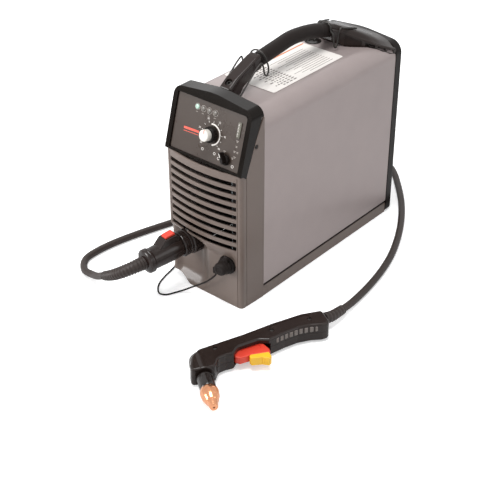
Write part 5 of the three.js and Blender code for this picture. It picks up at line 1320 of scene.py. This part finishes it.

# %% [markdown]
# ## Base tray and feet
# The case stands on a folded tray. Between its rim and the cover runs a black strip, set back a little:
# its black is painted shade that draws the dark line all along the side.

# %% Tray and painted shadow strip
TRAY_HALF = 85.5
FEET = [(58, -128.7), (-58, -128.7), (58, 166.7), (-58, 166.7)]
tray = block("tray", (-TRAY_HALF, COVER_Y[0], 0.8), (TRAY_HALF, COVER_Y[1], 21.4))
choose_faces(tray, lambda p: p.z > 20)
bpy.ops.mesh.delete(type="FACE")
bpy.ops.object.mode_set(mode="OBJECT")
modify(tray, "SOLIDIFY", thickness=SHEET * MM, offset=-1)
keel = block("keel", (-30, -100, 0.0), (30, 100, 4))
round_edges(keel, 0.8, 2, 50)
carve(tray, keel, "UNION")
for x, y in FEET:
    drill(tray, 14.5, -3, 5, (x, y, 0), steps=48)
round_edges(tray, 0.8, 3, 50)
hand_over(tray, "base_tray")
# A black strip under the cover's edge: its black is painted shade for the dark line between tray and cover.
painted_shadow_line = [(TRAY_HALF - 1, COVER_Y[0]), (TRAY_HALF - 1, COVER_Y[1]), (1 - TRAY_HALF, COVER_Y[1]),
               (1 - TRAY_HALF, COVER_Y[0])]
painted_shadow_strip = plate("painted_shadow_strip", painted_shadow_line, "z", 20.9, 26.3)
carve(painted_shadow_strip, block("space", (3 - TRAY_HALF, COVER_Y[0] + 3, 10), (TRAY_HALF - 3, COVER_Y[1] - 3, 40)))
round_edges(painted_shadow_strip, 0.4, 2, 50)
hand_over(painted_shadow_strip, finish="rubber")

# %% Feet
foot_line = [(0, 0.6), (3, 0.6), (4, 0), (12.6, 0), (13.6, 0.5), (14, 1.3), (14, 2.7), (0, 2.7)]
for k, (x, y) in enumerate(FEET):
    hand_over(turned(f"foot_{k + 1}", foot_line, (x, y, 0), steps=48), f"rubber_foot_{k + 1}", angle=40)

# %% [markdown]
# ## Rear
# The rear is a black moulding with a grille of louvres before the fan. The supply cable's gland, the air
# inlet and the mains rocker sit in it. The ridges of the gland's nut and the barbs of the inlet are turned
# or cut as on the real fittings.

# %% Rear moulding
REAR_Y = 223
REAR_HALF = COVER_HALF + 0.8
GLAND_PLACE = (38, 205, 52)
AIR_PLACE = (-46, 205, 70)
ROCKER_X = 42
ROCKER_Z = 300
FAN_CENTRE_Z = 175
GRILLE_HALF = (62, 68)
REAR_SCREWS = [(-74, REAR_Y, 30), (74, REAR_Y, 30), (-74, REAR_Y, 330), (74, REAR_Y, 330)]


def rear_line(inset):
    half = REAR_HALF - inset
    return rounded([(half, 0.3 + inset, 8), (half, 352 - inset, 24 - inset), (0, 360 - inset, 200),
                    (-half, 352 - inset, 24 - inset), (-half, 0.3 + inset, 8)], 12)


rear = plate("rear_moulding", rear_line(0), "y", 205, REAR_Y)
slab(rear, "inside", rear_line(MOULD_WALL), "y", 200, REAR_Y - 4)
choose_faces(rear, lambda p: p.y > REAR_Y - 0.5)
bpy.ops.mesh.bevel(offset=0.0028, segments=4, affect="EDGES")
bpy.ops.object.mode_set(mode="OBJECT")
vents = []
for k in range(8):
    z = FAN_CENTRE_Z + (k - 3.5) * 15
    vents.append(block("vent", (-55, 195, z - 3), (55, 240, z + 3)))
    round_edges(vents[-1], 1.6, 3, 50)
carve(rear, merged_pieces("vents", vents))
drill(rear, 11.3, -20, 60, GLAND_PLACE, (0, 1, 0), 48)
drill(rear, 10.3, -20, 60, AIR_PLACE, (0, 1, 0), 48)
carve(rear, block("rocker_hole", (ROCKER_X - 11.3, 195, ROCKER_Z - 16),
                  (ROCKER_X + 11.3, 240, ROCKER_Z + 16)))

# %% Grooves round the grille, and the rear's screws
half_width, half_height = GRILLE_HALF
for side in (-1, 1):
    z = FAN_CENTRE_Z + side * half_height
    carve(rear, block("line", (-half_width, REAR_Y - 1, z - 0.8), (half_width, REAR_Y + 2, z + 0.8)))
for side in (-1, 1):
    x, up = side * half_width, half_height + 0.8
    carve(rear, block("line", (x - 0.8, REAR_Y - 1, FAN_CENTRE_Z - up),
                      (x + 0.8, REAR_Y + 2, FAN_CENTRE_Z + up)))
for place in REAR_SCREWS:
    drill(rear, 4.4, -1.8, 4, place, (0, 1, 0), 32, mouth=5)
hand_over(rear, "rear_bezel")
screws("rear_screws", [(x, y - 2, z) for x, y, z in REAR_SCREWS], lambda place: (0, 1, 0), 3.4)

# %% Gland and air inlet
gland = turned("gland", [(5, 4), (10.5, 4), (10.5, 18.3), (14.4, 18.3), (15, 19), (15, 25), (14.2, 26.6),
                         (13.2, 30), (12, 33), (10.6, 34), (5.6, 34), (5, 33.4), (5, 4)], steps=96)
flute(gland, 18, 15.8, 1.4, 18.6, 25.6)
hand_over(moved(gland, at(*GLAND_PLACE) @ turn(-90, "X")), "mains_gland", angle=30)
barbs = [point for k in range(4) for point in ((5.6, 26.2 + 3 * k), (6.6, 28.8 + 3 * k))]
inlet_line = [(3, 4), (9.5, 4), (9.5, 18.3), (12, 18.3), (12, 24), (11.4, 24.6), (6, 24.6), *barbs,
              (5.4, 38.4), (6.9, 39.6), (6.6, 41), (5, 43), (3.4, 43), (3, 42.6), (3, 4)]
inlet = turned("air_inlet", inlet_line, steps=72)
carve(inlet, turned("hexagon", [(10.6, 18), (30, 18), (30, 25), (10.6, 25), (10.6, 18)], steps=6))
hand_over(moved(inlet, at(*AIR_PLACE) @ turn(-90, "X")), "air_inlet_fitting", angle=24)

# %% Mains switch and its two marks
# The marks lie on the two slopes of the rocker's face.
rocker_side = [(-11, -7), (-15, 4), (0, 4.5), (14.5, 7.5), (11, -7)]
rocker_outline = [(REAR_Y - 4 + d, ROCKER_Z + z) for z, d in rocker_side]
rocker = plate("rocker", rocker_outline, "x", ROCKER_X - 11, ROCKER_X + 11)
round_edges(rocker, 0.9, 3, 20)
hand_over(rocker, "power_rocker")
UPPER_SLOPE = math.atan2(3, 14.5)
LOWER_SLOPE = math.atan2(0.5, 15)
on_mark = block("on_mark", (-0.6, -0.2, 5), (0.6, 0.2, 11))
on_mark = moved(on_mark, at(ROCKER_X, REAR_Y + 0.55, ROCKER_Z) @ Matrix.Rotation(-UPPER_SLOPE, 4, "X"))
off_mark = turned("off_mark", [(2.3, 0), (3.1, 0), (3.1, 0.25), (2.3, 0.25), (2.3, 0)], steps=40)
off_turn = Matrix.Rotation(LOWER_SLOPE - math.pi / 2, 4, "X")
off_mark = moved(off_mark, at(ROCKER_X, REAR_Y + 0.25, ROCKER_Z - 8) @ off_turn)
hand_over(merged_pieces("rocker_marks", [on_mark, off_mark]), finish="white_print", body="power_rocker")

# %% [markdown]
# ## Air regulator's knob
# The regulator sits under the cover, and only its knurled knob looks out of the punched hole. It is pulled
# up to unlock it, so it stays a piece of its own. A rubber collar lines the hole.

# %% Regulator knob
KNOB_TOP = COVER_TOP - 1
regulator_axis = (*REGULATOR_PLACE, 0)
knurled = turned("regulator_cap", [(5.3, 340), (12.5, 340), (12.5, KNOB_TOP - 2), (12.1, KNOB_TOP - 0.8),
                                   (11, KNOB_TOP - 0.2), (8.6, KNOB_TOP), (8.2, KNOB_TOP - 0.9),
                                   (4, KNOB_TOP - 1.2), (0, KNOB_TOP - 1.2), (0, 350.3), (5.3, 350.3),
                                   (5.3, 340)], steps=96)
flute(knurled, 24, 13.2, 1.1, 342, 360)
hand_over(moved(knurled, at(*regulator_axis)), "regulator_knob", angle=30)
collar_line = [(12.9, -4), (13.8, -4), (13.8, 0), (15.2, 0.1), (15.6, 0.5), (15.2, 0.9), (13.4, 0.9),
               (12.9, 0.3), (12.9, -4)]
collar = turned("hole_collar", [(r, COVER_TOP + h) for r, h in collar_line], regulator_axis, steps=72)
hand_over(collar, finish="rubber", angle=40)
